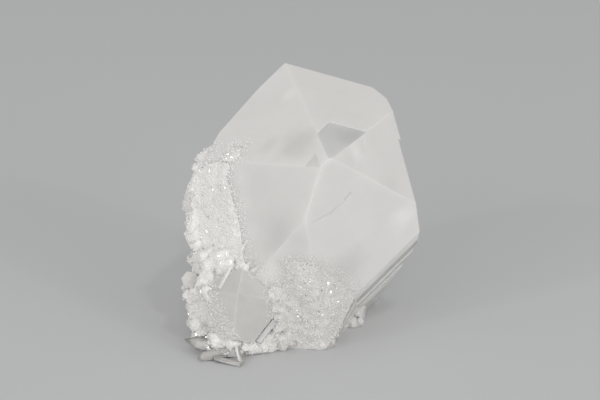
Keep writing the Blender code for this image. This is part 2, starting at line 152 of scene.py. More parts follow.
# Faces of the solid are one when their ways and reaches round to the same step, and match a way this closely.
WAY_STEPS, REACH_STEP, SAME_WAY, SAME_FACE = 500.0, 0.02 * MM, 0.99995, 0.999
# What counts as parallel planes, as a point on a plane and as one and the same point.
PARALLEL, ON_PLANE, SAME_POINT = 1e-6, 1e-9, 1e-7
MILK_LIGHT = (0.83, 0.82, 0.805)
MILK_DARK = (0.80, 0.79, 0.775)
MILK_DEPTH = 2.0 * MM
QUARTZ_IOR = 1.544
# Painted light and shade: how bright each end face is painted beside the others, as light falls on it, from the
# upper left one round to the right.
END_PAINTED_SHADES = (1.05, 1.045, 0.99, 0.97, 0.965, 0.985)
# The edges between these end faces hardly show: their blunted strips are painted shade, darkened to this
# brightness to hide their highlight.
FAINT_ENDS, FAINT_EDGE_PAINTED_SHADE, FAINT_STRIP = (3, 4, 5), 0.86, 2.0 * MM**2
# Veils just under an end face, partly milk that is thicker or thinner and partly painted light and shade: the dark
# ones paint inner shade near the ridges and low on the faces, the light ones the best lit corners and, on the lower
# left face, light in place of the shade that the crust beside it throws into the milk. The face, across and up from
# the roof edge in mm, the reach in mm, and how much of the veil's colour shows. The first list is darker than the
# milk, the second lighter.
MILK_AND_SHADE_VEILS = (
    (0, -5.5, 0.6, 7.0, 0.9), (0, -11.5, -1.2, 3.5, 0.5), (2, 13.4, -9.9, 5.0, 0.45), (3, 4.9, -25.7, 6.5, 0.75),
    (4, -5.4, -17.5, 4.5, 0.3), (5, -9.5, -17.5, 8.0, 0.7),
)
MILK_AND_LIGHT_VEILS = (
    (0, -7.5, 5.9, 3.0, 0.5), (2, 6.2, -0.9, 3.2, 0.8), (3, 16.1, -17.6, 5.0, 0.9), (4, -11.6, -26.5, 5.0, 0.7),
    (5, -18.5, -2.5, 4.5, 0.5), (5, -17.5, -8.0, 4.5, 0.5), (5, -17.0, -13.5, 4.5, 0.5),
    (5, -15.8, -18.5, 4.0, 0.5),
)
VEIL_DARK = (0.69, 0.68, 0.665)
VEIL_LIGHT = (0.91, 0.905, 0.89)
# Raised growth steps on the lower right side: from and to, behind the edge of the end face, and height, in mm.
GROWTH_STEPS = ((2.7, 4.9, 0.12), (10.6, 11.7, 0.16), (15.0, 18.0, 0.2))
# Bands of growth on that side: how far behind the edge of the end face, in mm, and how light the quartz is. The dark
# bands are partly painted shade, as this side faces down and away from the light.
GROWTH_AND_SHADE_BANDS = (
    (0.0, 0.98), (1.9, 0.96), (2.6, 0.66), (3.3, 0.90), (4.8, 0.88), (5.6, 0.60), (6.6, 0.54), (8.6, 0.56),
    (9.6, 0.66), (10.3, 0.92), (11.2, 0.70), (13.0, 0.60), (15.0, 0.70), (17.0, 0.90), (20.0, 0.66),
)
BAND_LENGTH, BAND_WAVER = 25.0 * MM, 0.8 * MM
SHOULDER_START = -4.0 * MM
STEPPED_SIDE = 3
END_TOLERANCE = 0.3 * MM
# Marks sunk in the end faces: a greyer window high on the right, a healed scar on the lower right face and a nick
# beside the roof edge. Corners are across and up from the roof edge, with the depth at each, in mm.
MARK_CUTTER_STAND, MARK_GROUND_TURN = 3.0 * MM, 0.9
WINDOW = (1, ((-1.7, 2.9, 0.16), (0.9, 3.4, 0.16), (2.0, 3.1, 0.16), (8.1, 1.5, 0.16), (9.5, -1.6, 0.16),
              (1.4, -1.2, 0.16), (-1.0, 0.4, 0.16)))
HEALED_SCAR = (
    3,
    ((-2.35, -13.6), (-1.1, -13.3), (0.15, -12.8), (1.4, -12.0), (2.6, -11.4), (3.6, -10.6), (4.4, -9.8), (5.2, -8.8)),
)
SCAR_WIDTH, SCAR_DEPTH, SCAR_DEPTH_RANGE = 0.4, 0.1, (0.6, 1.3)
SCAR_WANDER, SCAR_OVERLAP, SCAR_SEED = 0.5, 0.2, 9
ROOF_NICK = (0, ((-4.4, -1.75, 0.1), (-2.2, 0.35, 0.12), (-1.9, 0.3, 0.05), (-1.2, -1.0, 0.1), (-2.8, -1.9, 0.15)))
APEX_PATCH = (2, ((1.0, 0.8, 0.05), (8.1, 1.3, 0.05), (8.0, -0.9, 0.09), (7.2, -2.3, 0.09), (5.9, -3.4, 0.07)))
# Shells broken out of the back: centre from the roof edge, radius, and the way to the point it was struck from.
SHELLS = (
    ((9.0, 56.0, -11.6), 11.4, (-0.6, -0.7, 0.4)),
    ((-13.5, 59.2, -18.6), 13.2, (0.5, -0.8, -0.3)),
    ((17.0, 47.0, -32.6), 11.2, (-0.7, -0.5, 0.5)),
)
SHELL_SEGMENTS, SHELL_RINGS = 96, 64
RIPPLE_SPACING = 1.3 * MM
RIPPLE_HEIGHT = 0.07 * MM
RIPPLE_FADE = 7.0 * MM
# The window's clouds, and the darker veil in it: the face, across, up and reach in mm.
WINDOW_LIGHT, WINDOW_DARK = (0.72, 0.725, 0.72), (0.69, 0.695, 0.69)
WINDOW_VEIL, WINDOW_VEIL_COLOUR = (1, 7.0, 1.0, 7.0), (0.585, 0.595, 0.595)
# Plain finishes: roughness, how milky, how deep light wanders, how clear, then the clouds' size and two colours.
RIM_FINISH = (0.25, 1.0, 2.0 * MM, 0.0, 3.0 * MM, (0.84, 0.835, 0.82), (0.79, 0.785, 0.77))
HEALED_FINISH = (0.3, 1.0, 3.0 * MM, 0.0, 3.0 * MM, (0.79, 0.78, 0.765), (0.74, 0.73, 0.715))
BROKEN_FINISH = (0.18, 1.0, 3.0 * MM, 0.0, 5.0 * MM, (0.80, 0.80, 0.79), (0.70, 0.70, 0.69))
SAWN_FINISH = (0.55, 1.0, 2.0 * MM, 0.0, 6.0 * MM, (0.82, 0.815, 0.80), (0.74, 0.735, 0.72))
# The ridged sides: their clouds, then the colours of the wide and the fine growth lines, with how thin each is.
RIDGED_LIGHT, RIDGED_DARK = (0.82, 0.81, 0.79), (0.72, 0.71, 0.69)
WIDE_LINES, WIDE_THINNESS = (0.58, 0.58, 0.565), 1.5
FINE_LINES, FINE_THINNESS = (0.88, 0.875, 0.86), 2.5
BAND_PATCHES_LIGHT, BAND_PATCHES_DARK = (1.06, 1.055, 1.04), (0.93, 0.925, 0.915)


def crystal_frame(heading, rise):
    """Columns across, over and axis of a crystal whose axis points this way."""
    h, r = radians(heading), radians(rise)
    axis = np.array((cos(r) * cos(h), cos(r) * sin(h), sin(r)))
    across = np.array((-sin(h), cos(h), 0.0))
    return np.column_stack((across, np.cross(axis, across), axis))


def way_round(turned, angle, lean):
    """The direction at this angle round a crystal's axis, leaning this much towards its tip."""
    side = turned[:, 0] * cos(radians(angle)) + turned[:, 1] * sin(radians(angle))
    return side * cos(radians(lean)) + turned[:, 2] * sin(radians(lean))


def flat_faces(node):
    """The flat faces of a CAD node as normals, distances from the origin and areas."""
    mesh = node.data
    mesh.calc_loop_triangles()
    normals = np.array([t.normal for t in mesh.loop_triangles])
    areas = np.array([t.area for t in mesh.loop_triangles])
    corners = [[mesh.vertices[v].co for v in t.vertices] for t in mesh.loop_triangles]
    centres = np.array([np.mean(three, axis=0) for three in corners])
    reach = (normals * centres).sum(axis=1)
    key = np.round(np.column_stack((normals * WAY_STEPS, reach / REACH_STEP))).astype(int)
    _, group = np.unique(key, axis=0, return_inverse=True)
    group = group.reshape(-1)
    total = np.bincount(group, areas)
    mean_normal = np.column_stack([np.bincount(group, areas * normals[:, i]) for i in range(3)]) / total[:, None]
    mean_reach = np.bincount(group, areas * reach) / total
    return mean_normal, mean_reach, total


def face_towards(faces, way, rank=0, crust=0.0):
    """The CAD's largest flat face that looks this way, or the next largest, under this much crust."""
    normals, reach, areas = faces
    way = np.array(way) / np.linalg.norm(way)
    near = np.where(normals @ way > SAME_WAY, areas, 0.0)
    best = int(np.argsort(near)[-1 - rank])
    return way, float(reach[best]) - crust


def solid_between(planes):
    """Corners and outward faces of the convex solid inside all the planes."""
    normals = np.array([n for n, _ in planes])
    reach = np.array([d for _, d in planes])
    corners, owners = [], []
    for i in range(len(planes)):
        for j in range(i + 1, len(planes)):
            for k in range(j + 1, len(planes)):
                three = normals[[i, j, k]]
                if abs(np.linalg.det(three)) < PARALLEL:
                    continue
                point = np.linalg.solve(three, reach[[i, j, k]])
                if (normals @ point > reach + ON_PLANE).any():
                    continue
                for index, known in enumerate(corners):
                    if np.linalg.norm(known - point) < SAME_POINT:
                        owners[index] |= {i, j, k}
                        break
                else:
                    corners.append(point)
                    owners.append({i, j, k})
    faces = []
    for index, normal in enumerate(normals):
        ring = [v for v, owner in enumerate(owners) if index in owner]
        if len(ring) < 3:
            continue
        centre = np.mean([corners[v] for v in ring], axis=0)
        first = corners[ring[0]] - centre
        second = np.cross(normal, first)
        ring.sort(key=lambda v: atan2((corners[v] - centre) @ second, (corners[v] - centre) @ first))
        faces.append(ring)
    return corners, faces


def finish_mesh(name, work):
    """The mesh of bmesh work that is done with."""
    mesh = bpy.data.meshes.new(name)
    work.to_mesh(mesh)
    work.free()
    return mesh


def add_piece(name, corners, faces):
    """A mesh object with these corners and faces, turned outwards."""
    work = bmesh.new()
    points = [work.verts.new(Vector(c)) for c in corners]
    for face in faces:
        work.faces.new([points[i] for i in face])
    bmesh.ops.recalc_face_normals(work, faces=work.faces)
    return place_object(name, finish_mesh(name, work))


def combine(piece, other, operation):
    """Applies one exact Boolean to the piece and removes the other."""
    modifier = piece.modifiers.new("combine", "BOOLEAN")
    modifier.operation = operation
    modifier.solver = "EXACT"
    modifier.material_mode = "TRANSFER"
    modifier.object = other
    graph = bpy.context.evaluated_depsgraph_get()
    made = bpy.data.meshes.new_from_object(piece.evaluated_get(graph))
    piece.modifiers.remove(modifier)
    piece.data = made
    bpy.data.objects.remove(other)


def wear_edges(piece, width):
    """Blunts every edge that is sharper than the sharpest one allowed."""
    work = bmesh.new()
    work.from_mesh(piece.data)
    sharp = [e for e in work.edges if e.is_manifold and e.calc_face_angle() > SHARPEST_EDGE]
    bmesh.ops.bevel(
        work, geom=sharp, offset=width, offset_type="OFFSET", segments=EDGE_STEPS, profile=0.5,
        affect="EDGES", clamp_overlap=True,
    )
    work.to_mesh(piece.data)
    work.free()


cad_faces = flat_faces(solid)
main_frame = crystal_frame(MAIN_HEADING, MAIN_RISE)
end_lean = 90.0 - QUARTZ_END_SLOPE
main_ends = []
for i in range(6):
    main_ends.append(face_towards(cad_faces, way_round(main_frame, MAIN_SPIN - SIXTH_TURN * i, end_lean)))
main_sides = []
for i, (lean, crust) in enumerate(MAIN_SIDES):
    way = way_round(main_frame, MAIN_SPIN - SIXTH_TURN * i, lean)
    main_sides.append(face_towards(cad_faces, way, crust=crust))
main_corners = []
for turn, crust in MAIN_CORNERS:
    way = way_round(main_frame, MAIN_SPIN + turn, 0.0)
    main_corners.append(face_towards(cad_faces, way, crust=crust))
main_breaks = [face_towards(cad_faces, way) for way in MAIN_BREAKS]
level_cut = (np.array((0.0, 0.0, -1.0)), 0.0)
main_planes = main_ends + main_sides + main_corners + main_breaks + [level_cut]
main = add_piece("large_point", *solid_between(main_planes))
wear_edges(main, MAIN_EDGE_WEAR)


def inset_planes(skipped):
    """The large point's planes drawn in a hair, without these, so that what joins it shares no face with it."""
    return [(n, d - LEDGE_INSET) for i, (n, d) in enumerate(main_planes) if i not in skipped]


# The ledge shares its way with one side of the large point, and is the smaller of the two faces.
ledge_way = way_round(main_frame, MAIN_SPIN - SIXTH_TURN * LEDGE_SIDE, 0.0)
ledge_side = face_towards(cad_faces, ledge_way, rank=1)
under = -main_frame[:, 1]
ledge_foot = (under, float(under @ np.array(ROOF_EDGE)) - LEDGE_FOOT)
ledge_planes = [ledge_side, ledge_foot] + inset_planes(skipped=(len(main_ends) + LEDGE_SIDE,))
ledge = add_piece("ledge", *solid_between(ledge_planes))
wear_edges(ledge, 0.5 * MAIN_EDGE_WEAR)
combine(main, ledge, "UNION")

axis = main_frame[:, 2]
stepped = len(main_ends) + STEPPED_SIDE
end_normal, end_reach = main_ends[STEPPED_SIDE]
side_normal, side_reach = main_planes[stepped]
edge_way = np.cross(end_normal, side_normal)
edge_point = np.linalg.solve(np.array((end_normal, side_normal, edge_way)), np.array((end_reach, side_reach, 0.0)))
edge_height = float(axis @ edge_point)
for start, stop, height in GROWTH_STEPS:
    step_planes = inset_planes(skipped=(stepped,)) + [(side_normal, side_reach + height * MM)]
    step_planes += [(axis, edge_height - start * MM), (-axis, stop * MM - edge_height)]
    combine(main, add_piece("growth_step", *solid_between(step_planes)), "UNION")


def new_group(name, inputs, outputs):
    """A shader node group with these sockets, given as (name, kind, default) and (name, kind)."""
    group = bpy.data.node_groups.new(name, "ShaderNodeTree")
    for label, kind, value in inputs:
        socket = group.interface.new_socket(label, in_out="INPUT", socket_type="NodeSocket" + kind)
        socket.default_value = value
    for label, kind in outputs:
        group.interface.new_socket(label, in_out="OUTPUT", socket_type="NodeSocket" + kind)
    start = group.nodes.new("NodeGroupInput")
    end = group.nodes.new("NodeGroupOutput")
    return group, start, end


def add_node(tree, kind, values=(), **settings):
    """A node with its settings made, and its sockets filled from values or linked."""
    node = tree.nodes.new(kind)
    for key, value in settings.items():
        setattr(node, key, value)
    for key, value in dict(values).items():
        if isinstance(value, bpy.types.NodeSocket):
            tree.links.new(value, node.inputs[key])
        else:
            node.inputs[key].default_value = value
    return node


def add_maths(tree, operation, first, second=0.0):
    """The output of a maths node."""
    return add_node(tree, "ShaderNodeMath", {0: first, 1: second}, operation=operation).outputs[0]


def add_mix(tree, share, first, second, blend="MIX"):
    """The output of a colour mix, the second colour by this share."""
    values = {0: share, 6: first, 7: second}
    return add_node(tree, "ShaderNodeMix", values, data_type="RGBA", blend_type=blend).outputs[2]


def add_scaled(tree, vector, share):
    """A colour or vector made this many times as large."""
    return add_node(tree, "ShaderNodeVectorMath", {0: vector, "Scale": share}, operation="SCALE").outputs[0]


def add_sum(tree, first, second):
    """The sum of two vectors."""
    return add_node(tree, "ShaderNodeVectorMath", {0: first, 1: second}, operation="ADD").outputs[0]


def add_place(tree):
    """Where the surface lies, in the piece's own coordinates."""
    return add_node(tree, "ShaderNodeTexCoord").outputs["Object"]


def add_distance_along(tree, place, way):
    """How far along a way a place is."""
    return add_node(tree, "ShaderNodeVectorMath", {0: place, 1: way}, operation="DOT_PRODUCT").outputs["Value"]


def add_noise(tree, place, scale, detail, roughness=0.5):
    """The value of soft noise over a surface."""
    values = {"Vector": place, "Scale": scale, "Detail": detail, "Roughness": roughness}
    return add_node(tree, "ShaderNodeTexNoise", values).outputs["Fac"]


def add_attribute(tree, name):
    """The value of one of the piece's own attributes."""
    return add_node(tree, "ShaderNodeAttribute", attribute_name=name).outputs["Fac"]


def use_group(tree, group, values):
    """The first output of a node group, placed in a tree with its own values."""
    return add_node(tree, "ShaderNodeGroup", values, node_tree=group).outputs[0]


# Clouds: soft noise between a light and a dark colour.
clouds, clouds_in, clouds_out = new_group(
    "milk_clouds",
    (
        ("Size", "Float", 12.0 * MM),
        ("Light", "Color", (1.0, 1.0, 1.0, 1.0)),
        ("Dark", "Color", (0.5, 0.5, 0.5, 1.0)),
    ),
    (("Color", "Color"),),
)
tightness = add_maths(clouds, "DIVIDE", 1.0, clouds_in.outputs["Size"])
billows = add_noise(clouds, add_place(clouds), tightness, 4.0, 0.6)
spread = add_node(
    clouds, "ShaderNodeMapRange", {"Value": billows, "From Min": 0.3, "From Max": 0.7},
    interpolation_type="SMOOTHSTEP",
).outputs["Result"]
mixed = add_mix(clouds, spread, clouds_in.outputs["Dark"], clouds_in.outputs["Light"])
clouds.links.new(mixed, clouds_out.inputs["Color"])

# Veil: a soft blot with a torn edge round a centre.
veil, veil_in, veil_out = new_group(
    "veil", (("Centre", "Vector", (0.0, 0.0, 0.0)), ("Reach", "Float", 5.0 * MM)), (("Mask", "Float"),)
)
place = add_place(veil)
torn = add_noise(veil, place, 0.3 / MM, 3.0)
away = add_node(
    veil, "ShaderNodeVectorMath", {0: place, 1: veil_in.outputs["Centre"]}, operation="DISTANCE"
).outputs["Value"]
share = add_maths(veil, "DIVIDE", away, veil_in.outputs["Reach"])
share = add_maths(veil, "ADD", share, add_maths(veil, "MULTIPLY", torn, 0.7))
mask = add_node(
    veil, "ShaderNodeMapRange", {"Value": share, "From Min": 0.35, "From Max": 1.35, "To Min": 1.0, "To Max": 0.0},
    interpolation_type="SMOOTHSTEP",
).outputs["Result"]
veil.links.new(mask, veil_out.inputs["Mask"])

# Growth lines: fine lines across a crystal's axis, as a mask.
lines, lines_in, lines_out = new_group(
    "growth_lines",
    (("Axis", "Vector", (0.0, 0.0, 1.0)), ("Spacing", "Float", 0.5 * MM), ("Waver", "Float", 0.15)),
    (("Mask", "Float"),),
)
place = add_place(lines)
waver = add_noise(lines, place, 0.25 / MM, 2.0)
along = add_distance_along(lines, place, lines_in.outputs["Axis"])
along = add_maths(lines, "DIVIDE", along, lines_in.outputs["Spacing"])
along = add_maths(lines, "ADD", along, add_maths(lines, "MULTIPLY", waver, lines_in.outputs["Waver"]))
ruled = add_node(
    lines, "ShaderNodeTexNoise", {"W": along, "Scale": 1.0, "Detail": 3.0, "Roughness": 0.7}, noise_dimensions="1D"
).outputs["Fac"]
mask = add_node(lines, "ShaderNodeMapRange", {"Value": ruled, "From Min": 0.4, "From Max": 0.62}).outputs["Result"]
lines.links.new(mask, lines_out.inputs["Mask"])


def new_shading(name):
    """A node group that makes a colour as bright as the attribute of the group's own name says."""
    group, start, end = new_group(name, (("Color", "Color", (1.0, 1.0, 1.0, 1.0)),), (("Color", "Color"),))
    shaded = add_scaled(group, start.outputs["Color"], add_attribute(group, name))
    group.links.new(shaded, end.inputs["Color"])
    return group


# This group scales a colour by a face attribute. On the two points that is painted light and shade, each face lighter
# or darker as light falls on it. On the single crystals it is their plain tone.
tone_and_painted_shade = new_shading("tone_and_painted_shade")


def new_quartz(name, roughness, milk_weight, milk_depth, clearness):
    """A material with a quartz shader: how milky it is, how deep light wanders, how clear it is."""
    material = bpy.data.materials.new(name)
    material.use_nodes = True
    shader = material.node_tree.nodes["Principled BSDF"]
    shader.inputs["IOR"].default_value = QUARTZ_IOR
    shader.inputs["Roughness"].default_value = roughness
    shader.inputs["Subsurface Weight"].default_value = milk_weight
    shader.inputs["Subsurface Radius"].default_value = (1.0, 0.96, 0.9)
    shader.inputs["Subsurface Scale"].default_value = milk_depth
    shader.inputs["Transmission Weight"].default_value = clearness
    return material, material.node_tree, shader


def add_clouds(tree, size, light, dark):
    """The colour output of clouds of this size between two colours."""
    return use_group(tree, clouds, {"Size": size, "Light": (*light, 1.0), "Dark": (*dark, 1.0)})


def new_cloudy(name, roughness, milk_weight, milk_depth, clearness, size, light, dark):
    """Quartz coloured by nothing but clouds of this size between a light and a dark colour."""
    material, tree, shader = new_quartz(name, roughness, milk_weight, milk_depth, clearness)
    tree.links.new(add_clouds(tree, size, light, dark), shader.inputs["Base Color"])
    return material


def add_veil(tree, number, across, up, reach):
    """The mask output of a veil under an end face, its place and reach in mm."""
    return use_group(tree, veil, {"Centre": tuple(on_end_face(number, across, up)), "Reach": reach * MM})


def add_growth_lines(tree, axis, spacing, waver):
    """The mask output of growth lines."""
    return use_group(tree, lines, {"Axis": tuple(axis), "Spacing": spacing, "Waver": waver})


def add_bump(tree, shader, height, distance, strength=1.0):
    """Feeds a height mask to a shader as bump of this depth."""
    bump = add_node(tree, "ShaderNodeBump", {"Height": height, "Distance": distance, "Strength": strength})
    tree.links.new(bump.outputs["Normal"], shader.inputs["Normal"])


def plane_back(plane, x, z):
    """How far back a plane lies at this place."""
    normal, distance = plane
    return (distance - normal[0] * x - normal[2] * z) / normal[1]


def on_end_face(number, across, up, depth=0.0):
    """The point of an end face this far across and up from the roof edge, sunk by a depth."""
    x = ROOF_EDGE.x + across * MM
    z = ROOF_EDGE.z + up * MM
    return np.array((x, plane_back(main_ends[number], x, z), z)) - main_ends[number][0] * depth


milky, tree, shader = new_quartz("cloudy_quartz", 0.25, 0.8, MILK_DEPTH, 0.0)
colour = add_clouds(tree, 12.0 * MM, MILK_LIGHT, MILK_DARK)
end_face = add_attribute(tree, "end_face")
# Veils of milk and of painted light and shade, each on its own end face only.
for veils, veil_colour in ((MILK_AND_SHADE_VEILS, VEIL_DARK), (MILK_AND_LIGHT_VEILS, VEIL_LIGHT)):
    for number, across, up, reach, strength in veils:
        same = {0: end_face, 1: number + 1.0, 2: 0.5}
        mine = add_node(tree, "ShaderNodeMath", same, operation="COMPARE").outputs[0]
        share = add_maths(tree, "MULTIPLY", add_veil(tree, number, across, up, reach), mine)
        share = add_maths(tree, "MULTIPLY", share, strength)
        colour = add_mix(tree, share, colour, (*veil_colour, 1.0))
# Painted light and shade: each end face's colour is scaled by its own painted brightness.
tree.links.new(use_group(tree, tone_and_painted_shade, {"Color": colour}), shader.inputs["Base Color"])
add_bump(tree, shader, add_noise(tree, add_place(tree), 0.6 / MM, 4.0), 0.05 * MM, 0.35)
main.data.materials.clear()
main.data.materials.append(milky)


def add_hull(name, points):
    """The convex hull of these points as an object."""
    work = bmesh.new()
    for point in points:
        work.verts.new(Vector(point))
    made = bmesh.ops.convex_hull(work, input=work.verts)
    inner = [g for g in made["geom_interior"] if isinstance(g, bmesh.types.BMVert)]
    bmesh.ops.delete(work, geom=inner, context="VERTS")
    bmesh.ops.recalc_face_normals(work, faces=work.faces)
    return place_object(name, finish_mesh(name, work))


def sink_mark(mark, ground, rim):
    """Sinks a mark into an end face, with one material on its ground and one on its rim."""
    number, outline = mark
    normal = main_ends[number][0]
    points = [on_end_face(number, across, up, depth * MM) for across, up, depth in outline]
    points += [point + normal * MARK_CUTTER_STAND for point in points]
    cutter = add_hull("mark", points)
    cutter.data.materials.append(ground)
    cutter.data.materials.append(rim)
    for face in cutter.data.polygons:
        face.material_index = 0 if abs(np.array(face.normal) @ normal) > MARK_GROUND_TURN else 1
    combine(main, cutter, "DIFFERENCE")


window_quartz, tree, shader = new_quartz("window_quartz", 0.2, 1.0, 3.0 * MM, 0.0)
colour = add_clouds(tree, 6.0 * MM, WINDOW_LIGHT, WINDOW_DARK)
colour = add_mix(tree, add_veil(tree, *WINDOW_VEIL), colour, (*WINDOW_VEIL_COLOUR, 1.0))
tree.links.new(colour, shader.inputs["Base Color"])
rim_quartz = new_cloudy("rim_quartz", *RIM_FINISH)
healed_quartz = new_cloudy("healed_quartz", *HEALED_FINISH)
sink_mark(WINDOW, window_quartz, rim_quartz)
number, line = HEALED_SCAR
rng = np.random.default_rng(SCAR_SEED)
for first, last in zip(line[:-1], line[1:]):
    way = np.subtract(last, first) / np.linalg.norm(np.subtract(last, first))
    across_way = np.array((-way[1], way[0])) * SCAR_WIDTH
    outline = []
    for end, step in ((first, -SCAR_OVERLAP), (last, SCAR_OVERLAP)):
        middle = np.array(end) + way * step + across_way * rng.uniform(-SCAR_WANDER, SCAR_WANDER)
        depth = SCAR_DEPTH * rng.uniform(*SCAR_DEPTH_RANGE)
        outline += [(*(middle - across_way), 0.0), (*middle, depth), (*(middle + across_way), 0.0)]
    sink_mark((number, outline), healed_quartz, rim_quartz)
sink_mark(ROOF_NICK, healed_quartz, rim_quartz)
sink_mark(APEX_PATCH, milky, rim_quartz)

broken_quartz = new_cloudy("broken_quartz", *BROKEN_FINISH)
for centre, radius, struck in SHELLS:
    work = bmesh.new()
    bmesh.ops.create_uvsphere(work, u_segments=SHELL_SEGMENTS, v_segments=SHELL_RINGS, radius=radius * MM)
    start = Vector(struck).normalized() * radius * MM
    for point in work.verts:
        away = (point.co - start).length
        wave = sin(2.0 * pi * away / RIPPLE_SPACING) * RIPPLE_HEIGHT * np.exp(-away / RIPPLE_FADE)
        point.co *= 1.0 + wave / (radius * MM)
        point.co += ROOF_EDGE + Vector(centre) * MM
    mesh = finish_mesh("shell", work)
    mesh.materials.append(broken_quartz)
    combine(main, place_object("shell", mesh), "DIFFERENCE")

ridged_quartz, tree, shader = new_quartz("ridged_quartz", 0.22, 1.0, 2.5 * MM, 0.0)
wide_lines = add_growth_lines(tree, axis, 2.6 * MM, 0.15)
fine_lines = add_growth_lines(tree, axis, 0.9 * MM, 0.3)
colour = add_clouds(tree, 4.0 * MM, RIDGED_LIGHT, RIDGED_DARK)
colour = add_mix(tree, add_maths(tree, "POWER", wide_lines, WIDE_THINNESS), colour, (*WIDE_LINES, 1.0))
colour = add_mix(tree, add_maths(tree, "POWER", fine_lines, FINE_THINNESS), colour, (*FINE_LINES, 1.0))
tree.links.new(colour, shader.inputs["Base Color"])
add_bump(tree, shader, fine_lines, 0.12 * MM, 0.6)

# Growth bands: lighter and darker quartz, with torn borders, in steps behind a place along the axis. The darker
# bands are partly painted shade.
bands, bands_in, bands_out = new_group("growth_and_shade_bands", (("Start", "Float", 0.0),), (("Color", "Color"),))
place = add_place(bands)
behind = add_maths(bands, "SUBTRACT", bands_in.outputs["Start"], add_distance_along(bands, place, tuple(axis)))
torn = add_maths(bands, "SUBTRACT", add_noise(bands, place, 0.25 / MM, 3.0), 0.5)
torn = add_maths(bands, "MULTIPLY", torn, BAND_WAVER)
share = add_maths(bands, "MULTIPLY", add_maths(bands, "ADD", behind, torn), 1.0 / BAND_LENGTH)
ramp = add_node(bands, "ShaderNodeValToRGB", {0: share})
while len(ramp.color_ramp.elements) < len(GROWTH_AND_SHADE_BANDS):
    ramp.color_ramp.elements.new(1.0)
for element, (distance, light) in zip(ramp.color_ramp.elements, GROWTH_AND_SHADE_BANDS):
    element.position = distance * MM / BAND_LENGTH
    element.color = (light, 0.99 * light, 0.965 * light, 1.0)
bands.links.new(ramp.outputs["Color"], bands_out.inputs["Color"])


def new_banded(name, start):
    """Quartz in growth bands, the dark ones partly painted shade, that start this far behind the end face's edge."""
    material, tree, shader = new_quartz(name, 0.22, 0.3, 0.6 * MM, 0.0)
    banding = use_group(tree, bands, {"Start": edge_height - start})
    patches = add_clouds(tree, 3.0 * MM, BAND_PATCHES_LIGHT, BAND_PATCHES_DARK)
    tree.links.new(add_mix(tree, 1.0, banding, patches, blend="MULTIPLY"), shader.inputs["Base Color"])
    add_bump(tree, shader, add_growth_lines(tree, axis, 0.9 * MM, 0.3), 0.08 * MM, 0.5)
    return material


banded_quartz = new_banded("banded_quartz", 0.0)
shoulder_quartz = new_banded("shoulder_quartz", SHOULDER_START)
sawn_quartz = new_cloudy("sawn_quartz", *SAWN_FINISH)
for material in (ridged_quartz, sawn_quartz, banded_quartz):
    main.data.materials.append(material)
slots = {material.name: i for i, material in enumerate(main.data.materials)}
side_ways = np.array([n for n, _ in main_sides + [ledge_side]])
end_numbers, painted_shades, strip_ends = [], [], []
for face in main.data.polygons:
    normal = np.array(face.normal)
    number = 0.0
    if face.material_index == slots["cloudy_quartz"]:
        if normal[2] < -SAME_FACE:
            face.material_index = slots["sawn_quartz"]
        elif side_normal @ normal > SAME_FACE or ledge_side[0] @ normal > SAME_FACE:
            face.material_index = slots["banded_quartz"]
        elif (side_ways @ normal).max() > SAME_FACE or abs(axis @ normal) > SAME_FACE:
            face.material_index = slots["ridged_quartz"]
        for i, (end_way, reach) in enumerate(main_ends):
            if end_way @ normal > SAME_FACE and abs(end_way @ np.array(face.center) - reach) < END_TOLERANCE:
                number = i + 1.0
    end_numbers.append(number)
    beside = np.argsort([-(end_way @ normal) for end_way, _ in main_ends])[:2]
    strip_ends.append(() if number or face.area > FAINT_STRIP else tuple(int(i) for i in beside))
    between = bool(strip_ends[-1]) and all(i in FAINT_ENDS for i in beside)
    # Each end face gets its painted light and shade, and the strips of the faint edges a darker painted shade.
    painted_shades.append(END_PAINTED_SHADES[int(number) - 1] if number else FAINT_EDGE_PAINTED_SHADE if between else 1.0)
main.data.attributes.new("end_face", "FLOAT", "FACE").data.foreach_set("value", end_numbers)
main.data.attributes.new("tone_and_painted_shade", "FLOAT", "FACE").data.foreach_set("value", painted_shades)
for label, ends in (("left_ends", {0, 5}), ("front_ends", {3, 4})):
    values = []
    for number, beside in zip(end_numbers, strip_ends):
        values.append(1.0 if int(number) - 1 in ends or set(beside) == ends else 0.0)
    main.data.attributes.new(label, "FLOAT", "FACE").data.foreach_set("value", values)
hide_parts("quartz_crystal")
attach(main, "root")


# ---- The second point ----
# A smaller six-sided crystal of quartz that grew against the foot of the large one, and leans nearly the same
# way. It holds less milk, so it looks greyer. Its own foot is buried in the crust.

SECOND_TIP = Vector((-12.63, -24.23, 15.9)) * MM
SECOND_HEADING, SECOND_RISE, SECOND_SPIN = -92.6, 22.6, 142.9
SECOND_LENGTH = 24.0 * MM
SECOND_BURIED_FACE, SECOND_BURIED_STEP = 1, 2.0 * MM
SECOND_EDGE_WEAR = 0.012 * MM
SECOND_LIGHT = (0.72, 0.705, 0.68)
SECOND_DARK = (0.675, 0.66, 0.635)
SECOND_MILK_DEPTH = 1.5 * MM
# Painted light and shade: how bright each end face is painted beside the others, as light falls on it, from the
# upper left one round to the right.
SECOND_PAINTED_SHADES = (1.0, 1.0, 0.93, 0.94, 1.06, 1.06)
SECOND_LEFT_SIDES = (4, 5)

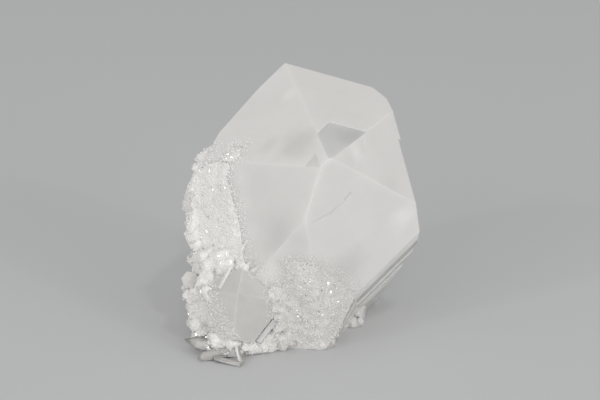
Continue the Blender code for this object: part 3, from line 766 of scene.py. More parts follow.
second_frame = crystal_frame(SECOND_HEADING, SECOND_RISE)
second_planes = []
for i in range(6):
    end_way = way_round(second_frame, SECOND_SPIN - SIXTH_TURN * i, end_lean)
    if i == SECOND_BURIED_FACE:
        second_planes.append((end_way, float(end_way @ np.array(SECOND_TIP)) + SECOND_BURIED_STEP))
    else:
        second_planes.append(face_towards(cad_faces, end_way))
    second_planes.append(face_towards(cad_faces, way_round(second_frame, SECOND_SPIN - SIXTH_TURN * i, 0.0)))
second_faces = list(second_planes)
root_way = -second_frame[:, 2]
second_planes.append((root_way, float(root_way @ np.array(SECOND_TIP)) + SECOND_LENGTH))
second_planes.append(level_cut)
second = add_piece("second_point", *solid_between(second_planes))
wear_edges(second, SECOND_EDGE_WEAR)
grey_quartz, tree, shader = new_quartz("grey_quartz", 0.22, 0.5, SECOND_MILK_DEPTH, 0.0)
colour = add_clouds(tree, 5.0 * MM, SECOND_LIGHT, SECOND_DARK)
tree.links.new(use_group(tree, tone_and_painted_shade, {"Color": colour}), shader.inputs["Base Color"])
add_bump(tree, shader, add_growth_lines(tree, second_frame[:, 2], 0.5 * MM, 1.0), 0.03 * MM, 0.5)
second.data.materials.append(grey_quartz)
nearest = []
for face in second.data.polygons:
    nearest.append(int(np.argmax([way @ np.array(face.normal) for way, _ in second_faces])) // 2)
# The second point's faces get their painted light and shade, each lighter or darker as light falls on it.
for label, values in (
    ("left_side", [1.0 if i in SECOND_LEFT_SIDES else 0.0 for i in nearest]),
    ("right_side", [0.0 if i in SECOND_LEFT_SIDES else 1.0 for i in nearest]),
    ("tone_and_painted_shade", [SECOND_PAINTED_SHADES[i] for i in nearest]),
):
    second.data.attributes.new(label, "FLOAT", "FACE").data.foreach_set("value", values)
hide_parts("quartz_crystal")
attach(second, "root")


# ---- The crust ----
# Fused lumps of quartz that wrap the foot and the left side. The solid's own lumps are kept, and where the two
# points stand in front of it the crust is drawn in under their faces.

# The crust is whitest at the left and greyer at the front.
CRUST_LEFT = (0.96, 0.945, 0.925)
CRUST_FRONT = (0.80, 0.785, 0.76)
CRUST_TURN = (-13.0 * MM, -4.0 * MM)
CRUST_SHADE = 0.94
OUTSIDE = 0.03 * MM
TUCK_AT_EDGE = 0.15 * MM
# What the large point hides of the bed shrinks towards this place, to this share of its size.
HEART, HEART_SHARE = np.array((0.0, 0.0, 24.0)) * MM, 0.2
# So does everything behind and to the right of these two lines, where only crumbs of crust are left on the break.
CRUMBS_BEHIND, CRUMBS_RIGHT = 12.0 * MM, -12.0 * MM
TUCK_UNDER_SECOND = 1.5 * MM
TUCK_ROUNDS = 40
# Single crystals that stand out of the crust: root, tip, width and how much of the width the point is long, in mm.
# The first two are cloudy, the others are clear.
CLOUDY_SINGLES = (0, 1)
SINGLES = (
    ((-16.5, -18.9, 15.1), (-14.0, -16.3, 19.3), 0.8, 0.7),
    ((-22.3, -3.9, 11.6), (-22.9, -10.5, 14.1), 3.2, 0.35),
    ((-17.8, -17.1, 1.6), (-24.0, -15.7, 2.9), 2.4, 1.2),
    ((-15.2, -18.9, 1.2), (-21.1, -20.9, 0.7), 2.0, 0.6),
    ((-17.4, -21.3, 0.8), (-11.9, -24.3, 0.5), 1.05, 0.3),
    ((-13.7, -16.5, 3.6), (-12.0, -23.8, 0.5), 0.95, 0.3),
    ((-10.8, -16.7, 1.5), (-11.1, -19.4, 0.7), 0.8, 0.7),
)
SINGLE_BARE, SINGLE_ROOT = 0.75, 0.2
# The bed's own crystals shrink to a milky core inside the clear ones: this share as thick, and this share shorter.
CLOUDY_CORE, CLEAR_CORE = (0.75, 0.08), (0.88, 0.03)
# The crust thins out over this width towards the end faces, down to this height.
TAPER = 3.0 * MM
TAPER_EDGE = 0.04 * MM
RIM_SPACING, RIM_TURN = 0.5 * MM, 0.99
RIDGED_TURN, UNDERSIDE_TURN = 0.8, -0.9
# Corners of the solid this close are merged.
SAME_CORNER = 0.0005 * MM
# The right side of the lower crust is a ridged crystal side: a point on it, its way, and how thick it is.
RIDGED_POINT, RIDGED_WAY = np.array((11.5, -12.0, 11.4)) * MM, np.array((0.877, -0.267, -0.398))
RIDGED_DEPTH = 1.0 * MM
# A smooth whitish foot at the lower right: its finish, and the corners of the box that holds it.
FOOT_FINISH = (0.2, 1.0, 1.5 * MM, 0.0, 1.5 * MM, (0.86, 0.85, 0.83), (0.70, 0.69, 0.67))
FOOT_LOW, FOOT_HIGH = (9.0 * MM, -2.5 * MM, -1.0 * MM), (15.0 * MM, 14.0 * MM, 4.9 * MM)
# Lumps that close the hollow beside the second point: centre and size across in mm.
FILLS = (
    ((-18.5, -12.2, 15.0), 5.0), ((-18.3, -14.8, 12.6), 4.2), ((-18.9, -9.0, 18.3), 4.2),
    ((-15.6, -11.2, 18.8), 4.6), ((-14.8, -13.4, 17.4), 5.2), ((-11.5, -14.6, 17.6), 4.4),
    ((-6.8, -13.6, 2.2), 6.4), ((-4.0, -12.6, 2.4), 6.6), ((-11.5, -14.8, 1.2), 6.4),
    ((-4.8, -15.7, 12.4), 4.0), ((-4.8, -15.6, 10.4), 4.0), ((-4.6, -15.1, 8.2), 4.0),
    ((-6.2, -17.0, 13.3), 2.2), ((-18.2, -11.0, 17.6), 4.2), ((-14.0, -17.6, 2.9), 4.0),
    ((-16.9, -17.0, 3.3), 3.6),
)
FILL_ROUGHNESS, FILL_WAVE, FILL_ROUNDNESS = 0.5, 1.5 * MM, 3
# In front the crust is a sheet that follows the large point's two lower end faces, and buries the lumps there.
SHEET_THICK, SHEET_RIM, SHEET_REACH, SHEET_DEEP = 1.15 * MM, 0.04 * MM, 5.0 * MM, 3.0 * MM
SHEET_EDGE_SHARE, SHEET_EDGE_REACH = 0.12, 3.5 * MM
SHEET_LEFT, SHEET_TOP, SHEET_LOWEST = -11.0 * MM, 22.0 * MM, 0.2 * MM
SHEET_COLUMNS, SHEET_ROWS, SHEET_TRIAL = 48, 50, 10.0 * MM
# Waves in it: height and size, then how rough they are, how much finer each next one is, and how many there are.
SHEET_WAVE, SHEET_WAVE_SIZE, SHEET_WAVE_FADE = 0.45 * MM, 1.8 * MM, 0.3
SHEET_WAVE_DETAIL = (0.8, 2.0, 3)
SHEET_HIDDEN, SHEET_ROUNDING = 0.25 * MM, 0.4 * MM
# The sheet's upper border, across and up, and its left border, up and across, in mm.
SHEET_BORDER = ((-11.0, 21.6), (1.6, 21.7), (4.5, 19.6), (7.4, 16.4), (10.3, 13.0), (12.0, 11.0))
SHEET_SIDE = ((11.5, -20.0), (13.5, -4.2), (21.6, -2.2))
BORDER_SLANT, BORDER_WAVE, BORDER_WAVE_SIZE = 0.85, 0.7 * MM, 2.2 * MM
LUMP_BURIED = 0.25 * MM
CRUST_LEAST = 0.02 * MM
# Where lumps are sunk under the end faces: from and to, across and up, in mm. The second place is a bare patch.
FLAT_PLACES = ((-4.5, -2.5, 2.0, 4.0), (-10.5, -9.0, 13.0, 14.5))
LUMP_FRONT = -9.0 * MM
# On the two left end faces the lumps stand only this share of their height, from this far across.
PRESSED_ENDS, PRESSED_SHARE = (0, 5), 0.25
PRESSED_FROM, PRESSED_TO = -23.5 * MM, -20.5 * MM


def outside_by(point, planes):
    """How far a point is outside a convex solid, or below nothing when it is inside."""
    return max(float(n @ point) - d for n, d in planes)


def farthest_plane(point, planes, inset=0.0):
    """How far a point is outside the plane that it is most outside of, and that plane's way."""
    over = [float(n @ point) - (d - inset) for n, d in planes]
    worst = int(np.argmax(over))
    return over[worst], planes[worst][0]


def draw_in(point, planes, inset):
    """The point moved until it is this far inside the convex solid."""
    for _ in range(TUCK_ROUNDS):
        over, way = farthest_plane(point, planes, inset)
        if over < ON_PLANE:
            break
        point = point - way * over
    return point


def past_ridge(point):
    """How far past the ridged side a point is, or below nothing on this side of it."""
    return float((np.array(point) - RIDGED_POINT) @ RIDGED_WAY)


def shrunk(point):
    """Where a hidden point goes, near the heart of the specimen."""
    return HEART + (point - HEART) * HEART_SHARE


def is_crumb(point):
    """True on the break at the back."""
    return point[1] > CRUMBS_BEHIND and point[0] > CRUMBS_RIGHT


def nearest_single(point, lowest_share):
    """Which single crystal this is, the way back along it and the point of its axis, or nothing if none is near."""
    for index, (root, tip, width, _) in enumerate(SINGLES):
        start, end = np.array(root) * MM, np.array(tip) * MM
        share = np.clip((point - start) @ (end - start) / ((end - start) @ (end - start)), 0.0, 1.0)
        away = np.linalg.norm(point - start - (end - start) * share)
        if share >= lowest_share and away < SINGLE_BARE * width * MM:
            return index, (start - end) * share, start + (end - start) * share
    return None


bed = place_object("crust_bed", solid.data.copy())
work = bmesh.new()
work.from_mesh(bed.data)
bmesh.ops.remove_doubles(work, verts=work.verts, dist=SAME_CORNER)
work.verts.index_update()
work.faces.index_update()
crystals = (main_planes, ledge_planes, second_planes)
crust_faces, foot_faces = set(), set()
for face in work.faces:
    centre = np.array(face.calc_center_median())
    if all(outside_by(centre, planes) > OUTSIDE for planes in crystals) and not is_crumb(centre):
        crust_faces.add(face.index)
        if (centre > FOOT_LOW).all() and (centre < FOOT_HIGH).all():
            foot_faces.add(face.index)
moves = []
for corner in work.verts:
    point = np.array(corner.co)
    if is_crumb(point):
        moves.append((corner, shrunk(point)))
        continue
    touches_crust = any(face.index in crust_faces for face in corner.link_faces)
    for planes in crystals:
        if outside_by(point, planes) < OUTSIDE:
            if touches_crust:
                point = draw_in(point, planes, TUCK_AT_EDGE)
            elif planes is second_planes:
                point = draw_in(point, planes, TUCK_UNDER_SECOND)
            else:
                point = shrunk(point)
            moves.append((corner, point))
            break
for corner, point in moves:
    corner.co = point
moved = {corner for corner, _ in moves}


def rim_points(ends):
    """Points along the border between the crust and these end faces."""
    found = []
    for edge in work.edges:
        bare = [face for face in edge.link_faces if face.index not in crust_faces]
        if len(bare) != 1 or len(edge.link_faces) != 2:
            continue
        if max(float(way @ np.array(bare[0].normal)) for way, _ in ends) > RIM_TURN:
            for share in np.linspace(0.0, 1.0, 2 + int(edge.calc_length() / RIM_SPACING)):
                found.append(edge.verts[0].co.lerp(edge.verts[1].co, float(share)))
    return np.array(found)


def ease(value, low=0.0, high=1.0):
    """A smooth step from 0 at low to 1 at high."""
    share = min(max((value - low) / (high - low), 0.0), 1.0)
    return share * share * (3.0 - 2.0 * share)


def sheet_height(point):
    """How far the sheet stands out of the end faces here, or below them outside its border."""
    top = np.interp(point[0] / MM, [x for x, _ in SHEET_BORDER], [z for _, z in SHEET_BORDER]) * MM
    side = np.interp(point[2] / MM, [z for z, _ in SHEET_SIDE], [x for _, x in SHEET_SIDE]) * MM
    distance = min((top - point[2]) * BORDER_SLANT, point[0] - side)
    distance += noise.noise(Vector((point[0], 0.0, point[2])) / BORDER_WAVE_SIZE) * BORDER_WAVE
    if distance < 0.0:
        return -SHEET_HIDDEN
    wave = noise.fractal(Vector(point) / SHEET_WAVE_SIZE, *SHEET_WAVE_DETAIL) * SHEET_WAVE
    edge_share = SHEET_EDGE_SHARE + (1.0 - SHEET_EDGE_SHARE) * ease(-past_ridge(point), 0.0, SHEET_EDGE_REACH)
    thick = SHEET_RIM + (SHEET_THICK - SHEET_RIM) * ease(distance, 0.0, SHEET_REACH)
    return (thick + wave * ease(distance, 0.0, SHEET_WAVE_FADE * SHEET_REACH)) * edge_share


main_rim, second_rim = rim_points(main_ends), rim_points(second_faces[0::2])
for corner in work.verts:
    if corner in moved:
        continue
    point = np.array(corner.co)
    across, up = point[0] / MM, point[2] / MM
    flattened = max(ease(across, left, right) * ease(up, low, high) for left, right, low, high in FLAT_PLACES)
    flattened *= point[1] < LUMP_FRONT
    over, way = farthest_plane(point, main_ends[3:5])
    point = point - way * (max(over - sheet_height(point) + LUMP_BURIED, 0.0) * flattened)
    found = nearest_single(point, 0.0)
    if found:
        index, back, middle = found
        thick, shorter = CLOUDY_CORE if index in CLOUDY_SINGLES else CLEAR_CORE
        point = middle + (point - middle) * thick + back * shorter
    pressed = 0.0 if found else (1.0 - PRESSED_SHARE) * ease(point[0], PRESSED_FROM, PRESSED_TO)
    for number in PRESSED_ENDS:
        way, reach = main_ends[number]
        point = point - way * max(float(way @ point) - reach, 0.0) * pressed
    for planes, rim in ((main_planes, main_rim), (second_planes, second_rim)):
        over, way = farthest_plane(point, planes)
        if over > 0.0:
            share = ease(np.linalg.norm(rim - point, axis=1).min(), 0.0, TAPER)
            height = max(over * (1.0 - (1.0 - share) * (1.0 - flattened)), TAPER_EDGE)
            point = point + way * min(height - over, 0.0)
    corner.co = (point[0], point[1], max(point[2], 0.0))
work.normal_update()
ridged_faces = set()
for face in work.faces:
    turned = face.normal.dot(Vector(RIDGED_WAY)) > RIDGED_TURN
    if past_ridge(face.calc_center_median()) > -RIDGED_DEPTH and turned and face.index not in foot_faces:
        ridged_faces.add(face.index)
for face in work.faces:
    face.material_index = 1 if face.index in foot_faces else 2 if face.index in ridged_faces else 0
ground_faces = []
for face in work.faces:
    centre = np.array(face.calc_center_median())
    smooth = face.index in foot_faces or face.index in ridged_faces
    sunk = outside_by(centre, main_planes) < CRUST_LEAST
    bare = face.index not in crust_faces or smooth or sunk or face.normal.z < UNDERSIDE_TURN
    ground_faces.append(0.0 if bare or nearest_single(centre, SINGLE_ROOT) else 1.0)
for centre, size in FILLS:
    made = bmesh.ops.create_icosphere(work, subdivisions=FILL_ROUNDNESS, radius=0.5 * size * MM)
    for point in made["verts"]:
        point.co *= 1.0 + FILL_ROUGHNESS * noise.noise((point.co + Vector(centre) * MM) / FILL_WAVE)
        point.co += Vector(centre) * MM
        point.co.z = max(point.co.z, 0.0)
ground_faces += [1.0] * (len(work.faces) - len(ground_faces))


def on_front_ends(x, z):
    """The point of the two lower end faces at this place, and the way they face there."""
    reaches = np.array([plane_back(end, x, z) for end in main_ends[3:6]])
    shares = np.exp((reaches - reaches.max()) / SHEET_ROUNDING)
    way = sum(share * n for share, (n, _) in zip(shares, main_ends[3:6]))
    return np.array((x, reaches.max(), z)), way / np.linalg.norm(way)


columns, rows = SHEET_COLUMNS, SHEET_ROWS
outer, inner, buried = [], [], []
for row in range(rows):
    z = SHEET_LOWEST + (SHEET_TOP - SHEET_LOWEST) * row / (rows - 1)
    # The sheet's right end is where the end face meets the ridged side, found from two trial places.
    trials = [past_ridge((x, plane_back(main_ends[3], x, z), z)) for x in (0.0, SHEET_TRIAL)]
    right = -SHEET_TRIAL * trials[0] / (trials[1] - trials[0])
    for column in range(columns):
        ground, way = on_front_ends(SHEET_LEFT + (right - SHEET_LEFT) * column / (columns - 1), z)
        height = sheet_height(ground)
        buried.append(height < 0.0)
        outer.append(work.verts.new(ground + way * height))
        inner.append(work.verts.new(ground - way * SHEET_DEEP))
for point in outer + inner:
    point.co.z = max(point.co.z, 0.0)
for row in range(rows - 1):
    for column in range(columns - 1):
        square = [row * columns + column + step for step in (0, 1, columns + 1, columns)]
        work.faces.new([outer[i] for i in square])
        ground_faces.append(0.0 if all(buried[i] for i in square) else 1.0)
        work.faces.new([inner[i] for i in reversed(square)])
        ground_faces.append(0.0)
border = [(i, i + 1) for i in range(columns - 1)]
border += [((row + 1) * columns - 1, (row + 2) * columns - 1) for row in range(rows - 1)]
border += [(rows * columns - 1 - i, rows * columns - 2 - i) for i in range(columns - 1)]
border += [((rows - 1 - row) * columns, (rows - 2 - row) * columns) for row in range(rows - 1)]
for first, last in border:
    wall = work.faces.new((outer[last], outer[first], inner[first], inner[last]))
    wall.material_index = 2
    ground_faces.append(0.0)
kinds = [face.material_index for face in work.faces]
work.to_mesh(bed.data)
work.free()
bed.data.attributes.new("crust", "FLOAT", "FACE").data.foreach_set("value", ground_faces)


# Crust colour: patches that are tinted whiter at the left and greyer at the front.
tint, tint_in, tint_out = new_group(
    "crust_tint", (("Patches", "Color", (1.0, 1.0, 1.0, 1.0)),), (("Color", "Color"),)
)
across = add_node(tint, "ShaderNodeSeparateXYZ", {0: add_place(tint)}).outputs["X"]
share = add_node(
    tint, "ShaderNodeMapRange", {"Value": across, "From Min": CRUST_TURN[0], "From Max": CRUST_TURN[1]}
).outputs["Result"]
colour = add_mix(tint, share, (*CRUST_LEFT, 1.0), (*CRUST_FRONT, 1.0))
colour = add_mix(tint, 1.0, colour, tint_in.outputs["Patches"], blend="MULTIPLY")
tint.links.new(colour, tint_out.inputs["Color"])


def add_crust_colour(tree, brightness):
    """The crust's colour, in soft patches of this brightness."""
    patches = add_clouds(tree, 2.5 * MM, (brightness,) * 3, (brightness * CRUST_SHADE,) * 3)
    return use_group(tree, tint, {"Patches": patches})


crust_quartz, tree, shader = new_quartz("crust_quartz", 0.3, 0.0, 2.5 * MM, 0.0)
tree.links.new(add_crust_colour(tree, 1.0), shader.inputs["Base Color"])
foot_quartz = new_cloudy("foot_quartz", *FOOT_FINISH)
bed.data.materials.clear()
for material in (crust_quartz, foot_quartz, shoulder_quartz):
    bed.data.materials.append(material)
bed.data.polygons.foreach_set("material_index", kinds)
bed.data.polygons.foreach_set("use_smooth", [kind == 0 for kind in kinds])
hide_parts("quartz_crystal")
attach(bed, "root")


# ---- The druse ----
# Thousands of tiny quartz points, most of them under half a millimetre, that grew on the crust. They point roughly
# the way the large point does, and thin out over its lower faces. A few larger ones have a facet that flashes.

# Each form: height of the ring of corners, height of the tip, and how far the tip is off centre, in widths.
GRAIN_FORMS = ((0.1, 0.5, 0.0), (0.2, 0.65, 0.2), (0.05, 0.42, -0.25), (0.32, 0.8, 0.1))
GRAIN_WIDTH = 1.0 * MM
GRAIN_ROOT = 0.9
RING_WAVE = 0.07
DRUSE_LOWEST = 0.7 * MM
DRUSE_LEAN = 0.5
DRUSE_ROUGHNESS = 0.14
# The crust is covered in full, and beyond this distance from it fewer and fewer grains stand.
FULL_COVER, COVER_FADE = 1.2 * MM, 1.8
# A grain is left out where crust lies over its foot: how far the foot is lifted to look, and how far up.
FOOT_LIFT, LOOK_UP = 0.05 * MM, 6.0 * MM
# The higher this is, the fewer of the grains are large.
SMALL_GRAINS = 2.4
GROUND_SHADING = 0.25
DRUSE_TOWARDS_AXIS = 0.5
# A grain's tone is between these two, and this share of the grains are painted dark as the shade of clefts.
GRAIN_TONES = (0.92, 1.05)
CLEFT_SHADE_SHARE, CLEFT_SHADE_TONE = 0.008, 0.6
# Each piece of druse: its ground, grains per square mm, smallest and largest size in mm, reach in mm, seed,
# and how bright it is beside the crust. Above 1, on the end faces, this is painted light that makes up for the
# shade the small grains throw on each other.
DRUSES = (
    ("druse_front", "front", 11.0, 0.2, 0.6, 2.0, 11, 1.0),
    ("druse_left", "left", 9.8, 0.18, 0.52, 2.0, 12, 1.0),
    ("druse_back", "back", 4.5, 0.3, 0.8, 2.0, 13, 1.0),
    ("druse_on_left_ends", "left_ends", 13.0, 0.13, 0.28, 3.6, 14, 1.14),
    ("druse_on_front_ends", "front_ends", 13.0, 0.14, 0.3, 2.4, 17, 1.15),
    ("druse_on_second", "second", 12.0, 0.16, 0.32, 2.0, 15, 1.0),
    ("druse_on_second_left", "second_left", 14.0, 0.14, 0.4, 6.0, 16, 0.99),
)
# The grains that flash: how many are tried, their widths in mm, how far they are stretched and stand out, how far
# off a true glint they may be turned, how much their place must face the camera, and the lowest place.
FLASH_COUNT, FLASH_SEED, FLASH_CORNERS = 130, 21, 5
FLASH_WIDTHS = (0.12, 0.5)
FLASH_STRETCH = (1.0, 1.8)
FLASH_STAND = 0.22 * MM
FLASH_SLACK = 0.012
FLASH_FACING = 0.15
FLASH_LOWEST = 1.0 * MM
# Where the front, the left and the back of the crust part.
FRONT_LINE = -9.0 * MM
LEFT_LINE = -9.0 * MM
LEFT_BACK_LINE = 8.0 * MM

grain_forms = bpy.data.collections.new("grain_forms")
for ring_height, tip_height, skew in GRAIN_FORMS:
    corners = [(0.0, 0.0, -GRAIN_ROOT * GRAIN_WIDTH)]
    for i in range(6):
        lift = ring_height + (RING_WAVE if i % 2 else -RING_WAVE)
        angle = i * pi / 3.0
        corners.append((0.5 * GRAIN_WIDTH * cos(angle), 0.5 * GRAIN_WIDTH * sin(angle), lift * GRAIN_WIDTH))
    corners.append((0.5 * skew * GRAIN_WIDTH, 0.3 * skew * GRAIN_WIDTH, tip_height * GRAIN_WIDTH))
    faces = [(0, 1 + (i + 1) % 6, 1 + i) for i in range(6)]
    faces += [(7, 1 + i, 1 + (i + 1) % 6) for i in range(6)]
    mesh = bpy.data.meshes.new("grain_form")
    mesh.from_pydata(corners, [], faces)
    grain_forms.objects.link(bpy.data.objects.new("grain_form", mesh))

druse_tree = bpy.data.node_groups.new("druse", "GeometryNodeTree")
druse_tree.is_modifier = True
druse_tree.interface.new_socket("Geometry", in_out="INPUT", socket_type="NodeSocketGeometry")
DRUSE_INPUTS = (
    ("Grains per square mm", "Float"), ("Smallest", "Float"), ("Largest", "Float"), ("Reach", "Float"),
    ("Seed", "Int"), ("Material", "Material"),
)
for label, kind in DRUSE_INPUTS:
    druse_tree.interface.new_socket(label, in_out="INPUT", socket_type="NodeSocket" + kind)
druse_tree.interface.new_socket("Geometry", in_out="OUTPUT", socket_type="NodeSocketGeometry")
given = druse_tree.nodes.new("NodeGroupInput").outputs
result = druse_tree.nodes.new("NodeGroupOutput")

# The crust itself, without the ground of the other pieces, so that grains on the faces thin out away from it.
work = bmesh.new()
work.from_mesh(bed.data)
layer = work.faces.layers.float["crust"]
bmesh.ops.delete(work, geom=[f for f in work.faces if f[layer] < 0.5], context="FACES")
crust_only = place_object("crust_only", finish_mesh("crust_only", work))

scatter = add_node(
    druse_tree,
    "GeometryNodeDistributePointsOnFaces",
    {
        "Mesh": given["Geometry"],
        "Density": add_maths(druse_tree, "MULTIPLY", given["Grains per square mm"], 1.0 / MM**2),
        "Seed": given["Seed"],
    },
    distribute_method="RANDOM",
)
crust_shape = add_node(druse_tree, "GeometryNodeObjectInfo", transform_space="RELATIVE")
crust_shape.inputs["Object"].default_value = crust_only
crust_shape = crust_shape.outputs["Geometry"]
position = add_node(druse_tree, "GeometryNodeInputPosition").outputs[0]
height = add_node(druse_tree, "ShaderNodeSeparateXYZ", {0: position}).outputs["Z"]
near = add_node(druse_tree, "GeometryNodeProximity", {0: crust_shape}, target_element="FACES").outputs["Distance"]
farthest = add_maths(druse_tree, "MULTIPLY", given["Reach"], MM)
used = add_node(
    druse_tree, "ShaderNodeMapRange", {"Value": near, "From Min": FULL_COVER, "From Max": farthest}
).outputs["Result"]
kept = add_maths(druse_tree, "POWER", add_maths(druse_tree, "SUBTRACT", 1.0, used), COVER_FADE)


def druse_random(low, high, salt):
    """A random number for each grain, of its own kind for each salt."""
    values = {2: low, 3: high, "Seed": add_maths(druse_tree, "ADD", given["Seed"], float(salt))}
    return add_node(druse_tree, "FunctionNodeRandomValue", values, data_type="FLOAT").outputs[1]


def drop_points(points, which):
    """The points without those that the mask picks."""
    return add_node(druse_tree, "GeometryNodeDeleteGeometry", {0: points, 1: which}, domain="POINT").outputs[0]


corner_way = add_node(druse_tree, "GeometryNodeInputNormal").outputs[0]
corner_way = add_node(
    druse_tree, "GeometryNodeFieldOnDomain", {"Value": corner_way}, data_type="FLOAT_VECTOR", domain="POINT"
).outputs[0]
smooth_way = add_node(
    druse_tree, "GeometryNodeSampleNearestSurface", {"Mesh": given["Geometry"], "Value": corner_way},
    data_type="FLOAT_VECTOR",
).outputs[0]
outward = add_node(
    druse_tree,
    "GeometryNodeStoreNamedAttribute",
    {"Geometry": scatter.outputs["Points"], "Name": "outward", "Value": smooth_way},
    data_type="FLOAT_VECTOR",
    domain="POINT",
).outputs[0]
points = drop_points(outward, add_maths(druse_tree, "GREATER_THAN", druse_random(0.0, 1.0, 100), kept))
points = drop_points(points, add_maths(druse_tree, "LESS_THAN", height, DRUSE_LOWEST))
normal = add_node(
    druse_tree, "GeometryNodeInputNamedAttribute", {"Name": "outward"}, data_type="FLOAT_VECTOR"
).outputs[0]
looks_from = add_sum(druse_tree, position, add_scaled(druse_tree, normal, FOOT_LIFT))
covered = add_node(
    druse_tree,
    "GeometryNodeRaycast",
    {
        "Target Geometry": crust_shape,
        "Source Position": looks_from,
        "Ray Direction": normal,
        "Ray Length": LOOK_UP,
    },
).outputs["Is Hit"]
points = drop_points(points, covered)
wander = add_node(
    druse_tree, "FunctionNodeRandomValue", {0: (-1.0, -1.0, -1.0), 1: (1.0, 1.0, 1.0), "Seed": given["Seed"]},
    data_type="FLOAT_VECTOR",
).outputs[0]
wander = add_scaled(druse_tree, wander, DRUSE_LEAN)
common = tuple(float(v) * DRUSE_TOWARDS_AXIS for v in axis)
standing = add_sum(druse_tree, add_sum(druse_tree, normal, wander), common)
standing = add_node(druse_tree, "FunctionNodeAlignRotationToVector", {"Vector": standing}, axis="Z").outputs[0]
spin = druse_random(0.0, 2.0 * pi, 200)
twist = add_node(
    druse_tree, "FunctionNodeAxisAngleToRotation", {"Axis": (0.0, 0.0, 1.0), "Angle": spin}
).outputs[0]
turned = add_node(
    druse_tree, "FunctionNodeRotateRotation", {"Rotation": standing, "Rotate By": twist}, rotation_space="LOCAL"
).outputs[0]
chance = add_maths(druse_tree, "POWER", druse_random(0.0, 1.0, 300), SMALL_GRAINS)
size = add_node(
    druse_tree, "ShaderNodeMapRange", {"Value": chance, "To Min": given["Smallest"], "To Max": given["Largest"]}
).outputs["Result"]
forms = add_node(druse_tree, "GeometryNodeCollectionInfo", {"Separate Children": True, "Reset Children": True})
forms.inputs["Collection"].default_value = grain_forms
grown = add_node(
    druse_tree,
    "GeometryNodeInstanceOnPoints",
    {"Points": points, "Instance": forms.outputs[0], "Pick Instance": True, "Rotation": turned, "Scale": size},
).outputs[0]
tone = druse_random(GRAIN_TONES[0], GRAIN_TONES[1], 400)
# Painted shade: this share of the grains is darkened to stand for shaded clefts.
is_cleft_shade = add_maths(druse_tree, "LESS_THAN", druse_random(0.0, 1.0, 500), CLEFT_SHADE_SHARE)
tone = add_node(
    druse_tree, "ShaderNodeMix", {0: is_cleft_shade, 2: tone, 3: CLEFT_SHADE_TONE}, data_type="FLOAT"
).outputs[0]
toned = add_node(
    druse_tree, "GeometryNodeStoreNamedAttribute", {"Geometry": grown, "Name": "tone", "Value": tone},
    data_type="FLOAT", domain="INSTANCE",
).outputs[0]
real = add_node(druse_tree, "GeometryNodeRealizeInstances", {"Geometry": toned}).outputs[0]
painted = add_node(
    druse_tree, "GeometryNodeSetMaterial", {"Geometry": real, "Material": given["Material"]}
).outputs[0]
druse_tree.links.new(painted, result.inputs["Geometry"])
druse_sockets = {item.name: item.identifier for item in druse_tree.interface.items_tree if item.in_out == "INPUT"}


def ground_mesh(kind):
    """The faces that one piece of druse stands on."""
    work = bmesh.new()
    grounds = {
        "left_ends": (main, kind),
        "front_ends": (main, kind),
        "second": (second, "right_side"),
        "second_left": (second, "left_side"),
    }
    source, label = grounds.get(kind, (bed, "crust"))
    work.from_mesh(source.data)
    layer = work.faces.layers.float[label]
    dropped = []
    for face in work.faces:
        centre = face.calc_center_median()
        if centre.y < FRONT_LINE and centre.x > LEFT_LINE:
            place = "front"
        elif centre.x <= LEFT_LINE and centre.y < LEFT_BACK_LINE:
            place = "left"
        else:
            place = "back"
        if face[layer] < 0.5 or kind not in (place, *grounds):
            dropped.append(face)
    bmesh.ops.delete(work, geom=dropped, context="FACES")
    return finish_mesh(kind + "_ground", work)


# Softened facets: grains shaded partly by the way their ground faces, because light wanders between them.
softened, softened_in, softened_out = new_group(
    "softened_facets", (("Ground share", "Float", GROUND_SHADING),), (("Normal", "Vector"),)
)
ground_way = add_node(softened, "ShaderNodeAttribute", attribute_name="outward").outputs["Vector"]
ground_way = add_scaled(softened, ground_way, softened_in.outputs["Ground share"])
facet_way = add_node(softened, "ShaderNodeNewGeometry").outputs["Normal"]
mixed = add_node(
    softened, "ShaderNodeVectorMath", {0: add_sum(softened, facet_way, ground_way)}, operation="NORMALIZE"
).outputs[0]
softened.links.new(mixed, softened_out.inputs["Normal"])
grain_tone_and_shade = new_shading("tone")

for name, kind, count, smallest, largest, reach, seed, brightness in DRUSES:
    druse_quartz, tree, shader = new_quartz(name + "_quartz", DRUSE_ROUGHNESS, 0.0, MM, 0.0)
    # A brightness above 1 is painted light against the shade the grains throw on each other.
    colour = use_group(tree, grain_tone_and_shade, {"Color": add_crust_colour(tree, brightness)})
    tree.links.new(colour, shader.inputs["Base Color"])
    tree.links.new(use_group(tree, softened, {"Ground share": GROUND_SHADING}), shader.inputs["Normal"])
    source = place_object(name + "_ground", ground_mesh(kind))
    modifier = source.modifiers.new("druse", "NODES")
    modifier.node_group = druse_tree
    for (label, _), value in zip(DRUSE_INPUTS, (count, smallest, largest, reach, seed, druse_quartz)):
        modifier[druse_sockets[label]] = value
    graph = bpy.context.evaluated_depsgraph_get()
    mesh = bpy.data.meshes.new_from_object(source.evaluated_get(graph))
    bpy.data.objects.remove(source)
    mesh.name = name
    for point in mesh.vertices:
        point.co.z = max(point.co.z, 0.0)
    druse = place_object(name, mesh)
    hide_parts("quartz_crystal")
    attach(druse, "root")


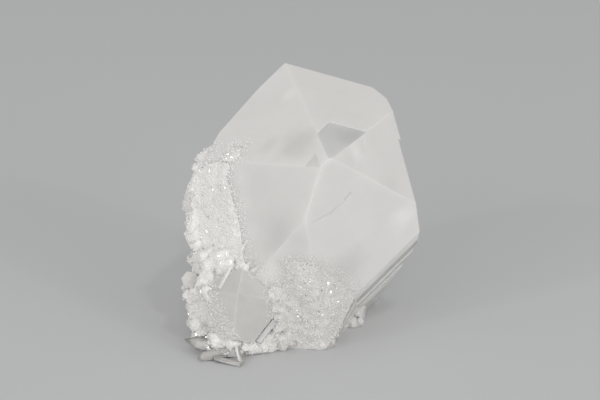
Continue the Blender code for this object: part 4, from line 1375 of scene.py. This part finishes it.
# The grains that flash: larger ones, each with one facet turned so that it throws a lamp at the camera's first
# place. They are fixed in the mesh, so from other sides they flash less.
work = bmesh.new()
work.from_mesh(crust_only.data)
work.faces.ensure_lookup_table()
camera_point = Vector(CAMERA_PLACE)
rng = np.random.default_rng(FLASH_SEED)
sides = []
for face in work.faces:
    if face.normal.dot((camera_point - face.calc_center_median()).normalized()) > FLASH_FACING:
        sides.append(face)
areas = np.array([f.calc_area() for f in sides])
chosen = rng.choice(len(sides), size=FLASH_COUNT, p=areas / areas.sum())
corners, faces = [], []
for index in chosen:
    face = sides[int(index)]
    shares = rng.dirichlet((1.0, 1.0, 1.0))
    point = sum((face.verts[i].co * float(shares[i]) for i in range(3)), Vector())
    if point.z < FLASH_LOWEST:
        continue
    lamp_point = Vector(LAMP_PLACES[int(rng.integers(len(LAMP_PLACES)))])
    glint = ((camera_point - point).normalized() + (lamp_point - point).normalized()).normalized()
    glint = (glint + Vector(rng.uniform(-1.0, 1.0, 3)) * FLASH_SLACK).normalized()
    width = MM * float(rng.uniform(*FLASH_WIDTHS))
    turned = glint.to_track_quat("Z", "Y").to_matrix() @ Matrix.Rotation(float(rng.uniform(0.0, 2.0 * pi)), 3, "Z")
    # A steep little wedge: a flat glinting facet on top of a root that goes down into the crust.
    first = len(corners)
    stretch = float(rng.uniform(*FLASH_STRETCH))
    for angle in np.linspace(0.0, 2.0 * pi, FLASH_CORNERS, endpoint=False):
        facet = Vector((0.5 * width * stretch * cos(angle), 0.5 * width * sin(angle), FLASH_STAND))
        corners.append(point + turned @ facet)
    corners.append(point - face.normal * width)
    faces.append([first + i for i in range(FLASH_CORNERS)])
    for i in range(FLASH_CORNERS):
        faces.append([first + (i + 1) % FLASH_CORNERS, first + i, first + FLASH_CORNERS])
work.free()
mesh = bpy.data.meshes.new("druse_flashes")
mesh.from_pydata(corners, [], faces)
mesh.materials.append(bpy.data.materials["druse_left_quartz"])
mesh.attributes.new("tone", "FLOAT", "FACE").data.foreach_set("value", [1.0] * len(mesh.polygons))
flashes = place_object("druse_flashes", mesh)
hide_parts("quartz_crystal")
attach(flashes, "root")
bpy.data.objects.remove(crust_only)


# ---- The single crystals and the plate ----
# Seven small quartz crystals that grew out of the crust: a cloudy rod and a cloudy block higher up, and two clear
# blades and three clear needles low on the left. A thin plate of quartz stands beside the second point.

SINGLE_GROWTH = 1.03
# Each one is turned this much further round its axis, in radians, and its prism has at least this share of it.
SINGLE_TURN, SHORTEST_PRISM = 0.9, 0.45
SINGLE_SHADE = 1.12
CLEAR_FINISH = (0.06, 0.0, 1.0 * MM, 1.0, 1.5 * MM, (0.97, 0.965, 0.95), (0.90, 0.895, 0.88))
# The plate's corners: its front face, then its back, in mm.
PLATE = (
    (-5.65, -17.1, 7.7), (-4.7, -16.9, 7.1), (-8.2, -17.9, 2.9), (-9.1, -18.1, 3.4),
    (-5.65, -12.0, 7.2), (-4.7, -12.0, 6.6), (-8.2, -12.0, 2.4), (-9.1, -12.0, 2.9),
)

work = bmesh.new()
for index, (root, tip, width, point_share) in enumerate(SINGLES):
    start, end = Vector(root) * MM, Vector(tip) * MM
    way = (end - start).normalized()
    turned = way.to_track_quat("Z", "Y").to_matrix()
    long = (end - start).length
    shoulder = max(long - point_share * width * MM, SHORTEST_PRISM * long)
    radius = 0.5 * width * MM / cos(pi / 6.0) * SINGLE_GROWTH
    rings = []
    for level in (0.0, shoulder):
        ring = []
        for i in range(6):
            angle = SINGLE_TURN * index + i * pi / 3.0
            ring.append(work.verts.new(start + turned @ Vector((radius * cos(angle), radius * sin(angle), level))))
        rings.append(ring)
    top = work.verts.new(end)
    work.faces.new(list(reversed(rings[0])))
    for i in range(6):
        after = (i + 1) % 6
        work.faces.new((rings[0][i], rings[0][after], rings[1][after], rings[1][i]))
        work.faces.new((rings[1][i], rings[1][after], top))
for point in work.verts:
    point.co.z = max(point.co.z, 0.0)
mesh = finish_mesh("single_crystals", work)
singles = place_object("single_crystals", mesh)
mesh.materials.append(new_cloudy("clear_quartz", *CLEAR_FINISH))
mesh.materials.append(grey_quartz)
faces_each = len(mesh.polygons) // len(SINGLES)
for face in mesh.polygons:
    face.material_index = 1 if face.index // faces_each in CLOUDY_SINGLES else 0
mesh.attributes.new("tone_and_painted_shade", "FLOAT", "FACE").data.foreach_set("value", [SINGLE_SHADE] * len(mesh.polygons))
plate = add_hull("plate", [Vector(corner) * MM for corner in PLATE])
plate.data.materials.append(healed_quartz)
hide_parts("quartz_crystal")
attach(plate, "root")
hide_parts("quartz_crystal")
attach(singles, "root")
